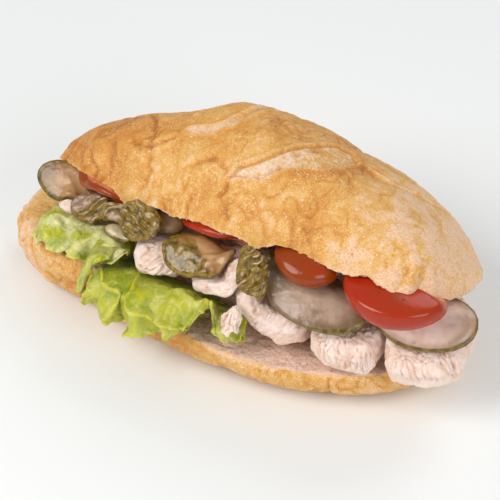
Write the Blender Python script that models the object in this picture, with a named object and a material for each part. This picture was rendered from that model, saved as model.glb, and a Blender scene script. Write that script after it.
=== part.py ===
"""A filled roll: a long crusty roll cut open, with lettuce, chicken, pickles and tomato.

Sizes below are in millimetres and are turned into metres when the meshes are made.
X runs along the roll, -Y is its open front, +Z is up, and z = 0 is the table.
"""
import math

import bpy
import numpy as np
from mathutils import Matrix, Vector, noise

MM = 0.001

# the roll: where its front edge, back edge and cut lie at stations along its length
BOTTOM_TIPS = (-104.5, 88.0)
#    x    front  back  cut height: front, back  shoulder  underside
BOTTOM_STATIONS = (
    (-104.5, 1.0, 7.0, 21.0, 20.0, 1.0, 14.0),
    (-102.0, -9.0, 18.0, 26.0, 24.0, 5.0, 8.0),
    (-97.5, -14.5, 24.0, 29.0, 25.0, 8.0, 4.0),
    (-90.0, -19.5, 29.0, 31.0, 25.5, 11.0, 1.0),
    (-80.0, -24.0, 33.0, 31.5, 25.0, 12.0, 0.0),
    (-60.0, -31.5, 39.5, 30.0, 22.5, 7.0, 0.0),
    (-40.0, -38.0, 44.5, 26.5, 20.5, 3.0, 0.0),
    (-20.0, -42.0, 47.5, 22.5, 19.5, 1.2, 0.0),
    (0.0, -44.5, 49.0, 20.0, 19.0, 1.0, 0.0),
    (20.0, -45.5, 49.0, 19.0, 19.0, 1.0, 0.0),
    (40.0, -43.5, 47.0, 18.5, 19.0, 1.0, 0.0),
    (58.0, -38.0, 42.5, 18.5, 19.0, 1.0, 0.0),
    (68.0, -32.0, 37.0, 18.5, 19.0, 1.0, 0.0),
    (76.0, -24.0, 30.0, 18.5, 19.0, 1.0, 1.0),
    (83.0, -13.0, 20.0, 18.5, 19.0, 1.0, 3.5),
    (88.0, 2.0, 5.0, 17.0, 17.0, 0.5, 11.0),
)
TOP_TIPS = (-91.0, 94.0)
#              x    front y, z    back y, z    height of the crust above the cut
TOP_STATIONS = (
    (-91.0, 12.0, 45.5, 15.0, 44.0, 2.0),
    (-86.0, 8.5, 45.0, 25.0, 37.0, 11.5),
    (-75.0, 0.5, 48.3, 33.0, 31.5, 20.5),
    (-60.0, -5.5, 50.3, 39.0, 26.5, 28.5),
    (-45.0, -13.5, 53.4, 44.0, 23.0, 34.0),
    (-30.0, -18.0, 55.0, 47.0, 21.3, 39.5),
    (-15.0, -22.0, 57.3, 48.5, 20.3, 44.5),
    (0.0, -25.5, 59.2, 49.0, 20.0, 44.5),
    (15.0, -28.5, 60.8, 49.0, 20.0, 42.0),
    (30.0, -29.0, 61.1, 48.5, 20.0, 37.5),
    (45.0, -29.5, 61.4, 47.0, 20.5, 33.5),
    (60.0, -30.0, 61.7, 43.0, 22.0, 28.5),
    (70.0, -31.0, 62.2, 39.0, 24.5, 23.5),
    (79.0, -28.5, 60.8, 32.0, 28.5, 17.5),
    (87.0, -17.0, 54.6, 24.0, 34.0, 9.5),
    (94.0, 5.0, 46.0, 9.0, 44.0, 2.0),
)
ROLL_RINGS = 34
CRUST_POINTS = 26
CUT_POINTS = 10
CRUST_SWELL = 1.1          # height of the crust's slow bumps
SWELL_LENGTH = 21.0        # how long the larger and the smaller of these bumps are
SMALL_SWELL_LENGTH = 12.0
BOTTOM_SWELL_LENGTH = 17.0
BOTTOM_SQUARENESS = 0.62   # 1 is a round section, less is a squarer one
TOP_SQUARENESS = 0.8
WIDEST_BELOW_CUT = 2.0     # the lower half is widest this far under its cut
BASE_TUCK = 1.6            # how far the round crust runs on under the flat base
TOP_BULGE = 0.05           # share by which the upper crust bulges past its cut
TOP_HOLLOW = 3.0           # how far the crumb of the upper half is pressed in
RIM_HEIGHT = 5.0           # how far up its crust the rim gives way to the fillings
RIM_GIVE = 1.0             # how much of the fillings' lift the rim takes
CUT_SAG = 1.2              # how far the cut face dips in the middle
SLASH_DEPTH = 1.6          # how far the baker's slashes sink into the crust

# the pile of fillings
GAP = 0.55                 # air left between one piece and the next
CELL = 1.0                 # grid on which the pile's height is kept
EMPTY = -1e3               # the pile's height where nothing lies
SLICE_REACH = 3            # cells over which a thin slice bends where it is lifted
THICK_REACH = 5            # the same for a thick piece, and for the roll's soft crumb
CRUMB_REACH = 4
LEAF_THICKNESS = 1.0       # a lettuce leaf
LEAF_SWELL = 0.35          # the leaf's slow bumps as a share of its frill, and their length
LEAF_SWELL_LENGTH = 9.0
SECOND_FRILL = 0.45        # a smaller, quicker wave on each frill
SECOND_FRILL_RATE = 2.3
LONG_BUMPS = 6.5           # length of the larger and the smaller bumps of the slices
SHORT_BUMPS = 3.8
SEED = 7

CRUST_COLOUR = (0.72, 0.40, 0.15, 1.0)
CHICKEN_COLOUR = (0.84, 0.70, 0.62, 1.0)
PICKLE_COLOUR = (0.36, 0.33, 0.12, 1.0)
TOMATO_COLOUR = (0.62, 0.06, 0.02, 1.0)
LETTUCE_COLOUR = (0.32, 0.50, 0.06, 1.0)


def clear_scene():
    for item in list(bpy.data.objects):
        bpy.data.objects.remove(item, do_unlink=True)


def make_material(name, colour, roughness):
    material = bpy.data.materials.new(name)
    material.use_nodes = True
    shader = material.node_tree.nodes["Principled BSDF"]
    shader.inputs["Base Color"].default_value = colour
    shader.inputs["Roughness"].default_value = roughness
    shader.inputs["Metallic"].default_value = 0.0
    return material


def make_solid(name, points, faces, material):
    """One closed solid from points in millimetres."""
    mesh = bpy.data.meshes.new(name)
    mesh.from_pydata([tuple(MM * c for c in point) for point in points], [], faces)
    mesh.materials.append(material)
    mesh.validate()
    mesh.shade_smooth()
    mesh.set_sharp_from_angle(angle=math.radians(50))
    solid = bpy.data.objects.new(name, mesh)
    bpy.context.scene.collection.objects.link(solid)
    return solid


def centre_on_origin(solids):
    """Slide all the solids so that the middle of their box is over the origin."""
    corners = np.array([point.co[:] for solid in solids for point in solid.data.vertices])
    middle = (corners.min(0) + corners.max(0)) / 2
    slide = Matrix.Translation((-middle[0], -middle[1], 0.0))
    for solid in solids:
        solid.data.transform(slide)


def slow_noise(point, size, offset=0.0):
    """Smooth noise from -1 to 1 whose bumps are about size across."""
    return noise.noise(Vector((point[0] / size + offset, point[1] / size, point[2] / size)))


def smooth_table(table, places):
    """Each column of a table read at places, on smooth curves through its rows."""
    table = np.array(table, float)
    known = table[:, 0]
    columns = []
    for column in table[:, 1:].T:
        slope = np.gradient(column, known)
        k = np.clip(np.searchsorted(known, places) - 1, 0, len(known) - 2)
        width = known[k + 1] - known[k]
        t = (places - known[k]) / width
        columns.append(
            (2 * t**3 - 3 * t**2 + 1) * column[k]
            + (t**3 - 2 * t**2 + t) * width * slope[k]
            + (-2 * t**3 + 3 * t**2) * column[k + 1]
            + (t**3 - t**2) * width * slope[k + 1]
        )
    return np.array(columns).T


def roll_places(tips):
    """Places along the roll and the turn from -90 to 90 degrees that each stands for."""
    middle = (tips[0] + tips[1]) / 2
    half = (tips[1] - tips[0]) / 2
    turns = np.linspace(-math.pi / 2, math.pi / 2, ROLL_RINGS + 2)
    return middle, half, turns, middle + half * np.sin(turns)


def stations_at(stations, tips):
    """The roll's sections, read by turn so that its ends are round."""
    middle, half, turns, places = roll_places(tips)
    table = np.array(stations, float)
    by_turn = table.copy()
    by_turn[:, 0] = np.arcsin(np.clip((table[:, 0] - middle) / half, -1, 1))
    return places, smooth_table(by_turn, turns)


def rings_to_solid(rings, first_tip, last_tip):
    """Points and faces of rings of equal count, closed at both ends by a tip."""
    count = len(rings[0])
    points = [first_tip]
    for ring in rings:
        points.extend(ring)
    points.append(last_tip)
    faces = []
    for k in range(count):
        faces.append((0, 1 + (k + 1) % count, 1 + k))
    for r in range(len(rings) - 1):
        a = 1 + r * count
        b = a + count
        for k in range(count):
            n = (k + 1) % count
            faces.append((a + k, b + n, b + k))
            faces.append((a + k, a + n, b + n))
    last = len(points) - 1
    a = 1 + (len(rings) - 1) * count
    for k in range(count):
        faces.append((last, a + k, a + (k + 1) % count))
    return np.array(points), faces


def near_path(x, y, path, width):
    """1 on a path of (x, y) points, falling smoothly to 0 at its half width."""
    best = 1e9
    for (x0, y0), (x1, y1) in zip(path[:-1], path[1:]):
        length = (x1 - x0) ** 2 + (y1 - y0) ** 2
        t = max(0.0, min(1.0, ((x - x0) * (x1 - x0) + (y - y0) * (y1 - y0)) / length))
        best = min(best, math.hypot(x - x0 - t * (x1 - x0), y - y0 - t * (y1 - y0)))
    t = min(1.0, best / width)
    return (1 - t * t) ** 2


# the baker's slashes, seen from above
MAIN_SLASH = ((-2.5, -11.5), (8.0, -7.0), (20.0, 0.0), (29.0, 9.0), (37.0, 17.0), (52.0, 19.0),
              (66.0, 25.0))
BACK_SLASH = ((-28.0, 9.5), (-17.0, 8.0), (-12.0, 13.0), (-8.0, 23.0))
SLASH_WIDTH = 6.5


def rounded(value, squareness):
    """A cosine or sine drawn towards 1 and -1, which squares off the circle it belongs to."""
    return math.copysign(abs(value) ** squareness, value)


def bottom_bread():
    """The lower half: a flat base, a round crust and a cut face that dips a little."""
    places, rows = stations_at(BOTTOM_STATIONS, BOTTOM_TIPS)
    rings = []
    for x, row in zip(places[1:-1], rows[1:-1]):
        front, back, cut_front, cut_back, shoulder, under = row
        under = max(0.0, under)
        middle = (front + back) / 2
        half = (back - front) / 2
        lean = math.acos((1 - min(0.7, shoulder / half)) ** (1 / BOTTOM_SQUARENESS))
        ring = []
        for k in range(CRUST_POINTS + 1):
            turn = -lean + (math.pi + 2 * lean) * k / CRUST_POINTS
            side = -rounded(math.cos(turn), BOTTOM_SQUARENESS)
            cut = cut_front + (cut_back - cut_front) * (side + 1) / 2
            widest = cut - WIDEST_BELOW_CUT - 0.8 * shoulder
            if math.sin(turn) < 0:
                z = widest - (cut - widest) * math.sin(turn) / math.sin(lean)
            else:
                z = widest - (widest - under + BASE_TUCK) * math.sin(turn) ** 0.85
            y = middle + half * side
            off_base = min(1.0, max(0.0, z - under) / RIM_HEIGHT)
            swell = CRUST_SWELL * slow_noise((x, y, z), BOTTOM_SWELL_LENGTH) * off_base
            ring.append((x, y - swell * math.cos(turn), max(under, z)))
        edge_front, edge_back = ring[0], ring[-1]
        for k in range(1, CUT_POINTS):
            t = k / CUT_POINTS
            dip = CUT_SAG * math.sin(math.pi * t) * min(1.0, half / 20)
            y = edge_back[1] + (edge_front[1] - edge_back[1]) * t
            z = edge_back[2] + (edge_front[2] - edge_back[2]) * t
            ring.append((x, y, z - dip))
        rings.append(ring)
    first, last = rows[0], rows[-1]
    first_tip = (places[0], (first[0] + first[1]) / 2, (first[2] + first[5]) / 2)
    last_tip = (places[-1], (last[0] + last[1]) / 2, (last[2] + last[5]) / 2)
    return rings_to_solid(rings, first_tip, last_tip)


def top_bread(pile):
    """The upper half: the cut face is tilted up at the front and the crust domes over it."""
    places, rows = stations_at(TOP_STATIONS, TOP_TIPS)
    rings = []
    hold = []
    for x, (front, front_z, back, back_z, height) in zip(places[1:-1], rows[1:-1]):
        chord = np.array((back - front, back_z - front_z))
        upward = np.array((-chord[1], chord[0])) / np.linalg.norm(chord)
        middle = np.array((front + back, front_z + back_z)) / 2
        ring = []
        for k in range(CRUST_POINTS + 1):
            turn = math.pi * k / CRUST_POINTS
            side = rounded(math.cos(turn), TOP_SQUARENESS)
            rise = max(0.0, math.sin(turn)) ** TOP_SQUARENESS
            y, z = middle + chord / 2 * side * (1 + TOP_BULGE * math.sin(turn)) + upward * height * rise
            weight = min(1.0, rise * 2.5)
            swell = slow_noise((x, y, z), SWELL_LENGTH, 3.0)
            swell += 0.6 * slow_noise((x, y, z), SMALL_SWELL_LENGTH, 9.0)
            slash = 0.0
            if rise > 0.6:
                slash = near_path(x, y, MAIN_SLASH, SLASH_WIDTH) + near_path(x, y, BACK_SLASH, SLASH_WIDTH)
            push = weight * (CRUST_SWELL * swell - SLASH_DEPTH * slash)
            ring.append((x, y + push * upward[0], z + push * upward[1]))
            hold.append(RIM_GIVE * max(0.0, 1 - height * rise / RIM_HEIGHT) ** 2)
        for k in range(1, CUT_POINTS):
            t = (1 - math.cos(math.pi * k / CUT_POINTS)) / 2
            hollow = min(TOP_HOLLOW, height / 5) * math.sin(math.pi * t) ** 0.5
            y = front + (back - front) * t + hollow * upward[0]
            z = front_z + (back_z - front_z) * t + hollow * upward[1]
            ring.append((x, y, z))
            hold.append(1.0)
        rings.append(ring)
    first, last = rows[0], rows[-1]
    first_tip = (places[0], (first[0] + first[2]) / 2, (first[1] + first[3]) / 2 + first[4] / 2)
    last_tip = (places[-1], (last[0] + last[2]) / 2, (last[1] + last[3]) / 2 + last[4] / 2)
    points, faces = rings_to_solid(rings, first_tip, last_tip)
    return pile.press_into(points, faces, np.array([0.0] + hold + [0.0]))


class Pile:
    """How high the pieces laid so far reach, on a grid seen from above."""

    def __init__(self):
        self.origin = np.array((-120.0, -70.0))
        self.size = (240, 140)
        self.top = np.full(self.size, EMPTY)

    def heights(self, points, faces, highest):
        """The highest, or the lowest, surface of a piece over each cell."""
        sign = 1.0 if highest else -1.0
        field = np.full(self.size, EMPTY)
        for face in faces:
            corners = points[list(face)]
            flat = (corners[:, :2] - self.origin) / CELL
            low = np.maximum(0, np.floor(flat.min(0) - 0.5).astype(int))
            high = np.minimum(np.array(self.size) - 1, np.ceil(flat.max(0) + 0.5).astype(int))
            if (high < low).any():
                continue
            (x0, y0), (x1, y1), (x2, y2) = flat
            area = (x1 - x0) * (y2 - y0) - (x2 - x0) * (y1 - y0)
            if abs(area) < 1e-3:
                continue
            gx, gy = np.meshgrid(np.arange(low[0], high[0] + 1) + 0.5,
                                 np.arange(low[1], high[1] + 1) + 0.5, indexing="ij")
            w1 = ((gx - x0) * (y2 - y0) - (x2 - x0) * (gy - y0)) / area
            w2 = ((x1 - x0) * (gy - y0) - (gx - x0) * (y1 - y0)) / area
            slack = 0.8 * max(1.0, np.ptp(flat, axis=0).max()) / max(abs(area), 0.5)
            inside = (w1 > -slack) & (w2 > -slack) & (w1 + w2 < 1 + slack)
            w1, w2 = np.clip(w1, 0, 1), np.clip(w2, 0, 1)
            z0, z1, z2 = corners[:, 2]
            z = sign * np.clip(z0 + w1 * (z1 - z0) + w2 * (z2 - z0), corners[:, 2].min(), corners[:, 2].max())
            block = field[low[0]:high[0] + 1, low[1]:high[1] + 1]
            block[inside] = np.maximum(block, z)[inside]
        return field

    def lift_for(self, points, faces, reach):
        """How far a piece must rise at each of its points to clear what lies under it."""
        under = -self.heights(points, faces, False)
        covered = (under < -EMPTY) & (self.top > EMPTY)
        need = np.where(covered, np.maximum(0.0, self.top + GAP - under), 0.0)
        return self.read(spread(need, reach), points)

    def lay(self, points, faces, reach=SLICE_REACH):
        """Lift a piece softly off what lies under it, then add it to the pile."""
        points = points.copy()
        points[:, 2] += self.lift_for(points, faces, reach)
        self.top = np.maximum(self.top, self.heights(points, faces, True))
        return points, faces

    def press_into(self, points, faces, hold):
        """Let the pile press into the soft underside of the piece that lies on all of it."""
        points = points.copy()
        points[:, 2] += hold * self.lift_for(points, faces, CRUMB_REACH)
        return points, faces

    def read(self, field, points):
        """A field's value at each point, between cells."""
        at = (points[:, :2] - self.origin) / CELL - 0.5
        at = np.clip(at, 0, np.array(self.size) - 1.001)
        k = at.astype(int)
        f = at - k
        i, j = k[:, 0], k[:, 1]
        i2, j2 = np.minimum(i + 1, self.size[0] - 1), np.minimum(j + 1, self.size[1] - 1)
        low = field[i, j] * (1 - f[:, 1]) + field[i, j2] * f[:, 1]
        high = field[i2, j] * (1 - f[:, 1]) + field[i2, j2] * f[:, 1]
        return low * (1 - f[:, 0]) + high * f[:, 0]


def spread(field, reach):
    """The highest value within reach of each cell, then softened over the same reach."""
    for _ in range(reach):
        padded = np.pad(field, 1, mode="edge")
        field = np.max([padded[1:-1, 1:-1], padded[:-2, 1:-1], padded[2:, 1:-1],
                        padded[1:-1, :-2], padded[1:-1, 2:]], axis=0)
    for _ in range(reach):
        padded = np.pad(field, 1, mode="edge")
        field = (2 * padded[1:-1, 1:-1] + padded[:-2, 1:-1] + padded[2:, 1:-1]
                 + padded[1:-1, :-2] + padded[1:-1, 2:]) / 6
    return field


def axes(yaw, lean, roll):
    """A slice's own axes: along it, up its face and out of its face. Angles in degrees."""
    yaw, lean, roll = (math.radians(angle) for angle in (yaw, lean, roll))
    along = np.array((math.cos(yaw) * math.cos(roll), math.sin(yaw) * math.cos(roll), math.sin(roll)))
    flat = np.array((-math.sin(yaw), math.cos(yaw), 0.0))
    upward = np.cross(along, flat)
    up_face = flat * math.cos(lean) + upward * math.sin(lean)
    out = np.cross(along, up_face)
    return along, up_face, out


# the rings of a slice from the middle of its upper face to that of its lower face:
# each ring's reach as a share of the half length, and its height as a share of the thickness
SLICE_RINGS = ((0.0, 0.5), (0.45, 0.5), (0.84, 0.47), (0.985, 0.2), (0.985, -0.2), (0.84, -0.47),
               (0.45, -0.5))
CHICKEN_RINGS = ((0.0, 0.5), (0.5, 0.49), (0.86, 0.4), (1.0, 0.1), (0.97, -0.3), (0.8, -0.5),
                 (0.4, -0.5))
DOME_RINGS = ((0.0, 0.12), (0.55, 0.12), (0.93, 0.1), (1.0, 0.0), (0.93, -0.33), (0.72, -0.66),
              (0.4, -0.9))


def slab(centre, long, wide, thick, yaw=0.0, lean=0.0, roll=0.0, rings=SLICE_RINGS, around=22,
         ragged=0.0, bumps=0.0, sag=0.0, curl=0.0, wedge=0.0, squareness=1.0, seed=0):
    """A slice: rings about its centre, ragged or bumpy as asked.

    It sags towards its ends, curls down at its upper edge, and a wedge is thicker at its
    lower edge.
    """
    draw = np.random.default_rng(SEED + seed)
    waves = [(n, draw.uniform(-1, 1) / n, draw.uniform(0, 6.28)) for n in range(2, 9)]
    along, up_face, out = axes(yaw, lean, roll)
    middle = np.array(centre)
    points = []
    for r, (reach, height) in enumerate(rings):
        for k in range(around if reach else 1):
            turn = 2 * math.pi * k / around
            edge = reach * (1 + ragged * sum(size * math.sin(n * turn + start) for n, size, start in waves))
            a = edge * rounded(math.cos(turn), squareness)
            b = edge * rounded(math.sin(turn), squareness)
            h = height * thick * (1 - wedge * b) - sag * a ** 2 - curl * max(0.0, b) ** 2
            point = middle + a * long / 2 * along + b * wide / 2 * up_face + h * out
            bump = slow_noise(point, LONG_BUMPS, seed) + 0.5 * slow_noise(point, SHORT_BUMPS, seed + 5.0)
            points.append(point + bumps * bump * out)
    last = middle + rings[-1][1] * thick * out
    points.append(last)
    faces = []
    for k in range(around):
        faces.append((0, 1 + k, 1 + (k + 1) % around))
    for r in range(len(rings) - 2):
        a = 1 + r * around
        b = a + around
        for k in range(around):
            n = (k + 1) % around
            faces.append((a + k, b + k, b + n))
            faces.append((a + k, b + n, a + n))
    a = 1 + (len(rings) - 2) * around
    end = len(points) - 1
    for k in range(around):
        faces.append((a + k, end, a + (k + 1) % around))
    return np.array(points), faces


def through(values, t):
    """A Catmull-Rom curve through values at t from 0 to 1."""
    place = t * (len(values) - 1)
    k = min(int(place), len(values) - 2)
    f = place - k
    before, start = values[max(0, k - 1)], values[k]
    end, after = values[k + 1], values[min(len(values) - 1, k + 2)]
    rise = end - before
    bend = 2 * before - 5 * start + 4 * end - after
    turn = 3 * (start - end) + after - before
    return start + 0.5 * f * (rise + f * (bend + f * turn))


def leaf(rows, across, down, frill, waves, seed):
    """A lettuce leaf through rows of points, from its root to its frilled edge."""
    grid = np.array(rows, float)
    sheet = np.zeros((down, across, 3))
    for i in range(down):
        for j in range(across):
            line = np.array([through(row, j / (across - 1)) for row in grid])
            sheet[i, j] = through(line, i / (down - 1))
    normal = sheet_normals(sheet)
    for i in range(down):
        t = i / (down - 1)
        for j in range(across):
            turn = 2 * math.pi * waves * j / (across - 1)
            wave = math.sin(turn + seed) + SECOND_FRILL * math.sin(SECOND_FRILL_RATE * turn + 2 * seed)
            slow = slow_noise(sheet[i, j], LEAF_SWELL_LENGTH, seed)
            sheet[i, j] += normal[i, j] * frill * (t**2 * wave + LEAF_SWELL * slow * min(1.0, 2 * t))
    normal = sheet_normals(sheet)
    front = (sheet + normal * LEAF_THICKNESS / 2).reshape(-1, 3)
    rear = (sheet - normal * LEAF_THICKNESS / 2).reshape(-1, 3)
    points = np.concatenate([front, rear])
    total = across * down
    faces = []
    for i in range(down - 1):
        for j in range(across - 1):
            a, b = i * across + j, i * across + j + 1
            c, d = a + across, b + across
            faces += [(a, c, d), (a, d, b)]
            faces += [(total + a, total + d, total + c), (total + a, total + b, total + d)]
    rim = list(range(across))
    rim += [i * across + across - 1 for i in range(1, down)]
    rim += [(down - 1) * across + j for j in range(across - 2, -1, -1)]
    rim += [i * across for i in range(down - 2, 0, -1)]
    for a, b in zip(rim, rim[1:] + rim[:1]):
        faces += [(a, b, total + b), (a, total + b, total + a)]
    return points, faces


def sheet_normals(sheet):
    """The direction out of a sheet of points at each of them."""
    along = np.gradient(sheet, axis=1)
    down = np.gradient(sheet, axis=0)
    normal = np.cross(down, along)
    return normal / np.maximum(1e-9, np.linalg.norm(normal, axis=2, keepdims=True))


# lettuce: each leaf's rows run from its root inside the roll to its frilled edge
UPPER_LEAF = (
    ((-83.0, -1.0, 32.5), (-73.0, -1.0, 32.5), (-61.0, -3.0, 32.5),
     (-50.0, -6.0, 31.5), (-41.0, -12.0, 30.0)),
    ((-86.0, -8.0, 33.0), (-76.0, -11.0, 35.0), (-64.0, -14.0, 37.0),
     (-53.0, -17.5, 38.5), (-42.0, -22.0, 36.0)),
    ((-87.0, -14.0, 30.5), (-78.0, -18.0, 32.5), (-65.0, -21.5, 35.0),
     (-53.0, -25.0, 37.5), (-42.0, -28.0, 37.0)),
    ((-84.5, -21.0, 24.0), (-76.0, -24.5, 26.5), (-65.0, -27.5, 29.5),
     (-54.5, -30.0, 31.5), (-44.0, -33.0, 35.0)),
)
TONGUE_LEAF = (
    ((-55.0, -25.0, 33.0), (-50.0, -26.0, 33.0), (-45.0, -27.0, 33.0)),
    ((-57.0, -31.0, 33.5), (-52.0, -33.5, 34.5), (-47.0, -35.0, 35.0)),
    ((-58.5, -35.5, 28.5), (-54.5, -37.5, 28.5), (-51.0, -38.5, 29.5)),
    ((-58.5, -37.0, 22.5), (-56.5, -38.0, 22.5), (-54.5, -38.5, 23.0)),
)
LOWER_LEAF = (
    ((-46.0, -16.0, 28.5), (-36.0, -16.0, 27.0), (-24.0, -18.0, 25.0),
     (-12.0, -20.0, 24.0), (-4.0, -22.0, 23.0)),
    ((-49.0, -33.0, 33.0), (-40.0, -36.0, 35.5), (-26.0, -37.0, 36.5),
     (-12.0, -38.0, 37.0), (-1.5, -39.0, 36.0)),
    ((-53.0, -41.0, 27.5), (-43.0, -45.0, 29.0), (-28.0, -47.5, 30.0),
     (-14.0, -48.5, 32.0), (-2.0, -46.5, 34.5)),
    ((-53.5, -40.0, 21.0), (-43.0, -46.0, 21.5), (-26.0, -49.5, 21.5),
     (-12.0, -50.0, 26.0), (-4.0, -48.5, 32.0)),
)
SMALL_LEAF = (
    ((0.0, -26.0, 26.5), (6.0, -27.0, 26.0), (13.0, -27.0, 25.5)),
    ((0.5, -33.0, 31.0), (7.0, -34.0, 31.5), (14.0, -34.0, 31.0)),
    ((0.0, -39.0, 31.0), (7.0, -42.0, 31.5), (15.0, -41.0, 30.5)),
    ((4.0, -44.0, 27.0), (9.0, -46.5, 26.5), (16.0, -44.0, 27.5)),
)
# each leaf's rows, points across and down, height and number of frills, and where they start
LEAVES = (
    ("lettuce_lower", LOWER_LEAF, 26, 10, 3.4, 4.3, 0.6),
    ("lettuce_small", SMALL_LEAF, 11, 8, 1.3, 2.0, 2.1),
    ("lettuce_upper", UPPER_LEAF, 24, 9, 2.6, 3.6, 1.7),
    ("lettuce_tongue", TONGUE_LEAF, 8, 9, 1.5, 1.2, 4.0),
)


# chicken: sliced breast, the lower pieces first
CHICKEN = {
    "chicken_middle": dict(centre=(22.5, -16.5, 29.5), long=32.0, wide=47.0, thick=16.0, lean=-4.0,
                           ragged=0.1, bumps=0.8, squareness=0.6, seed=3),
    "chicken_right": dict(centre=(53.0, -18.0, 28.5), long=29.0, wide=50.0, thick=17.0, lean=-4.0,
                          ragged=0.1, bumps=0.8, squareness=0.6, seed=5),
    "chicken_end": dict(centre=(81.8, -15.5, 28.5), long=32.5, wide=42.0, thick=17.0, yaw=4.0, lean=6.0,
                        ragged=0.1, bumps=0.8, squareness=0.65, seed=6),
    "chicken_flat": dict(centre=(3.5, -23.5, 40.0), long=30.0, wide=32.0, thick=8.0, lean=4.0,
                         ragged=0.12, bumps=0.5, squareness=0.65, seed=2),
    "chicken_left": dict(centre=(-28.5, -24.0, 41.5), long=20.0, wide=21.0, thick=9.0, lean=30.0,
                         ragged=0.25, bumps=0.8, squareness=0.7, curl=7.0, seed=1),
    "chicken_shred": dict(centre=(11.0, -45.0, 33.0), long=9.0, wide=12.0, thick=4.0, lean=70.0,
                          ragged=0.4, bumps=0.4, seed=4),
    "chicken_bit": dict(centre=(-76.0, -8.5, 38.0), long=8.0, wide=6.0, thick=3.5, lean=40.0,
                        ragged=0.3, bumps=0.3, seed=7),
}
# pickled gherkin: slices that lean towards the open side, the lower ones first
PICKLES = {
    "pickle_end": dict(centre=(-80.5, 3.0, 40.0), long=33.0, wide=19.0, thick=4.0, lean=42.0,
                       roll=-14.0, sag=1.0, seed=11),
    "pickle_thin": dict(centre=(-60.0, -3.0, 40.5), long=27.0, wide=12.0, thick=2.6, yaw=-18.0, lean=-24.0,
                        seed=13),
    "pickle_pale": dict(centre=(-46.5, -21.0, 41.5), long=16.0, wide=10.0, thick=3.0, lean=35.0, roll=-8.0,
                        seed=22),
    "pickle_skin": dict(centre=(-65.0, -11.5, 43.0), long=18.0, wide=12.0, thick=4.0, lean=38.0,
                        bumps=0.6, sag=0.5, seed=12),
    "pickle_dark": dict(centre=(-50.5, -17.0, 44.5), long=16.0, wide=9.5, thick=4.0, lean=40.0,
                        bumps=0.5, seed=14),
    "pickle_shaded": dict(centre=(-29.5, -14.0, 49.0), long=15.0, wide=12.0, thick=3.5, lean=30.0,
                          seed=16),
    "pickle_ridged": dict(centre=(-37.5, -21.5, 47.0), long=18.0, wide=17.0, thick=4.5, lean=48.0,
                          bumps=0.7, seed=15),
    "pickle_dim": dict(centre=(20.5, -20.0, 46.0), long=10.0, wide=11.0, thick=3.0, lean=20.0,
                       seed=19),
    "pickle_broad": dict(centre=(-8.5, -29.0, 50.5), long=34.0, wide=20.0, thick=4.2, lean=38.0,
                         bumps=0.3, sag=1.0, curl=6.0, seed=17),
    "pickle_large": dict(centre=(40.0, -31.8, 48.2), long=44.0, wide=25.0, thick=3.8, yaw=-6.0, lean=33.0,
                         sag=2.5, curl=9.0, roll=-5.0, squareness=0.95, seed=20),
    "pickle_right": dict(centre=(79.5, -23.0, 44.5), long=45.0, wide=26.0, thick=4.2, yaw=5.0, lean=36.0,
                         roll=2.0, sag=1.5, curl=9.0, squareness=0.9, seed=21),
    "pickle_knob": dict(centre=(14.5, -36.5, 48.0), long=18.0, wide=16.0, thick=4.5, lean=50.0,
                        bumps=0.7, seed=18),
}
# tomato: slices and wedges with their cut face against the upper half of the roll
TOMATOES = {
    "tomato_left": dict(centre=(-59.0, 4.5, 40.0), long=42.0, wide=34.0, thick=4.0, yaw=-24.0, lean=-26.0,
                        seed=31),
    "tomato_middle": dict(centre=(-5.0, -7.0, 46.0), long=41.0, wide=40.0, thick=4.5, lean=-27.0,
                          seed=32),
    "tomato_wedge": dict(centre=(34.0, -23.5, 54.5), long=28.0, wide=27.0, thick=7.0, lean=-27.0,
                         rings=DOME_RINGS, wedge=0.85, seed=33),
    "tomato_half": dict(centre=(70.5, -25.0, 55.0), long=43.0, wide=36.0, thick=9.5, lean=-27.0,
                        roll=1.0, rings=DOME_RINGS, wedge=0.93, seed=34),
}


def main():
    clear_scene()
    crust = make_material("crust", CRUST_COLOUR, 0.7)
    chicken = make_material("chicken", CHICKEN_COLOUR, 0.6)
    pickle = make_material("pickle", PICKLE_COLOUR, 0.3)
    tomato = make_material("tomato", TOMATO_COLOUR, 0.25)
    lettuce = make_material("lettuce", LETTUCE_COLOUR, 0.45)

    pile = Pile()
    points, faces = bottom_bread()
    pile.lay(points, faces)
    solids = [make_solid("bread_bottom", points, faces, crust)]
    for name, rows, across, down, frill, waves, seed in LEAVES:
        points, faces = pile.lay(*leaf(rows, across, down, frill, waves, seed))
        solids.append(make_solid(name, points, faces, lettuce))
    for name, values in CHICKEN.items():
        points, faces = pile.lay(*slab(rings=CHICKEN_RINGS, **values))
        solids.append(make_solid(name, points, faces, chicken))
    for name, values in PICKLES.items():
        points, faces = pile.lay(*slab(**values))
        solids.append(make_solid(name, points, faces, pickle))
    for name, values in TOMATOES.items():
        reach = THICK_REACH if "rings" in values else SLICE_REACH
        points, faces = pile.lay(*slab(around=26, **values), reach=reach)
        solids.append(make_solid(name, points, faces, tomato))
    points, faces = top_bread(pile)
    solids.append(make_solid("bread_top", points, faces, crust))
    centre_on_origin(solids)


main()
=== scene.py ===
import math

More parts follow.
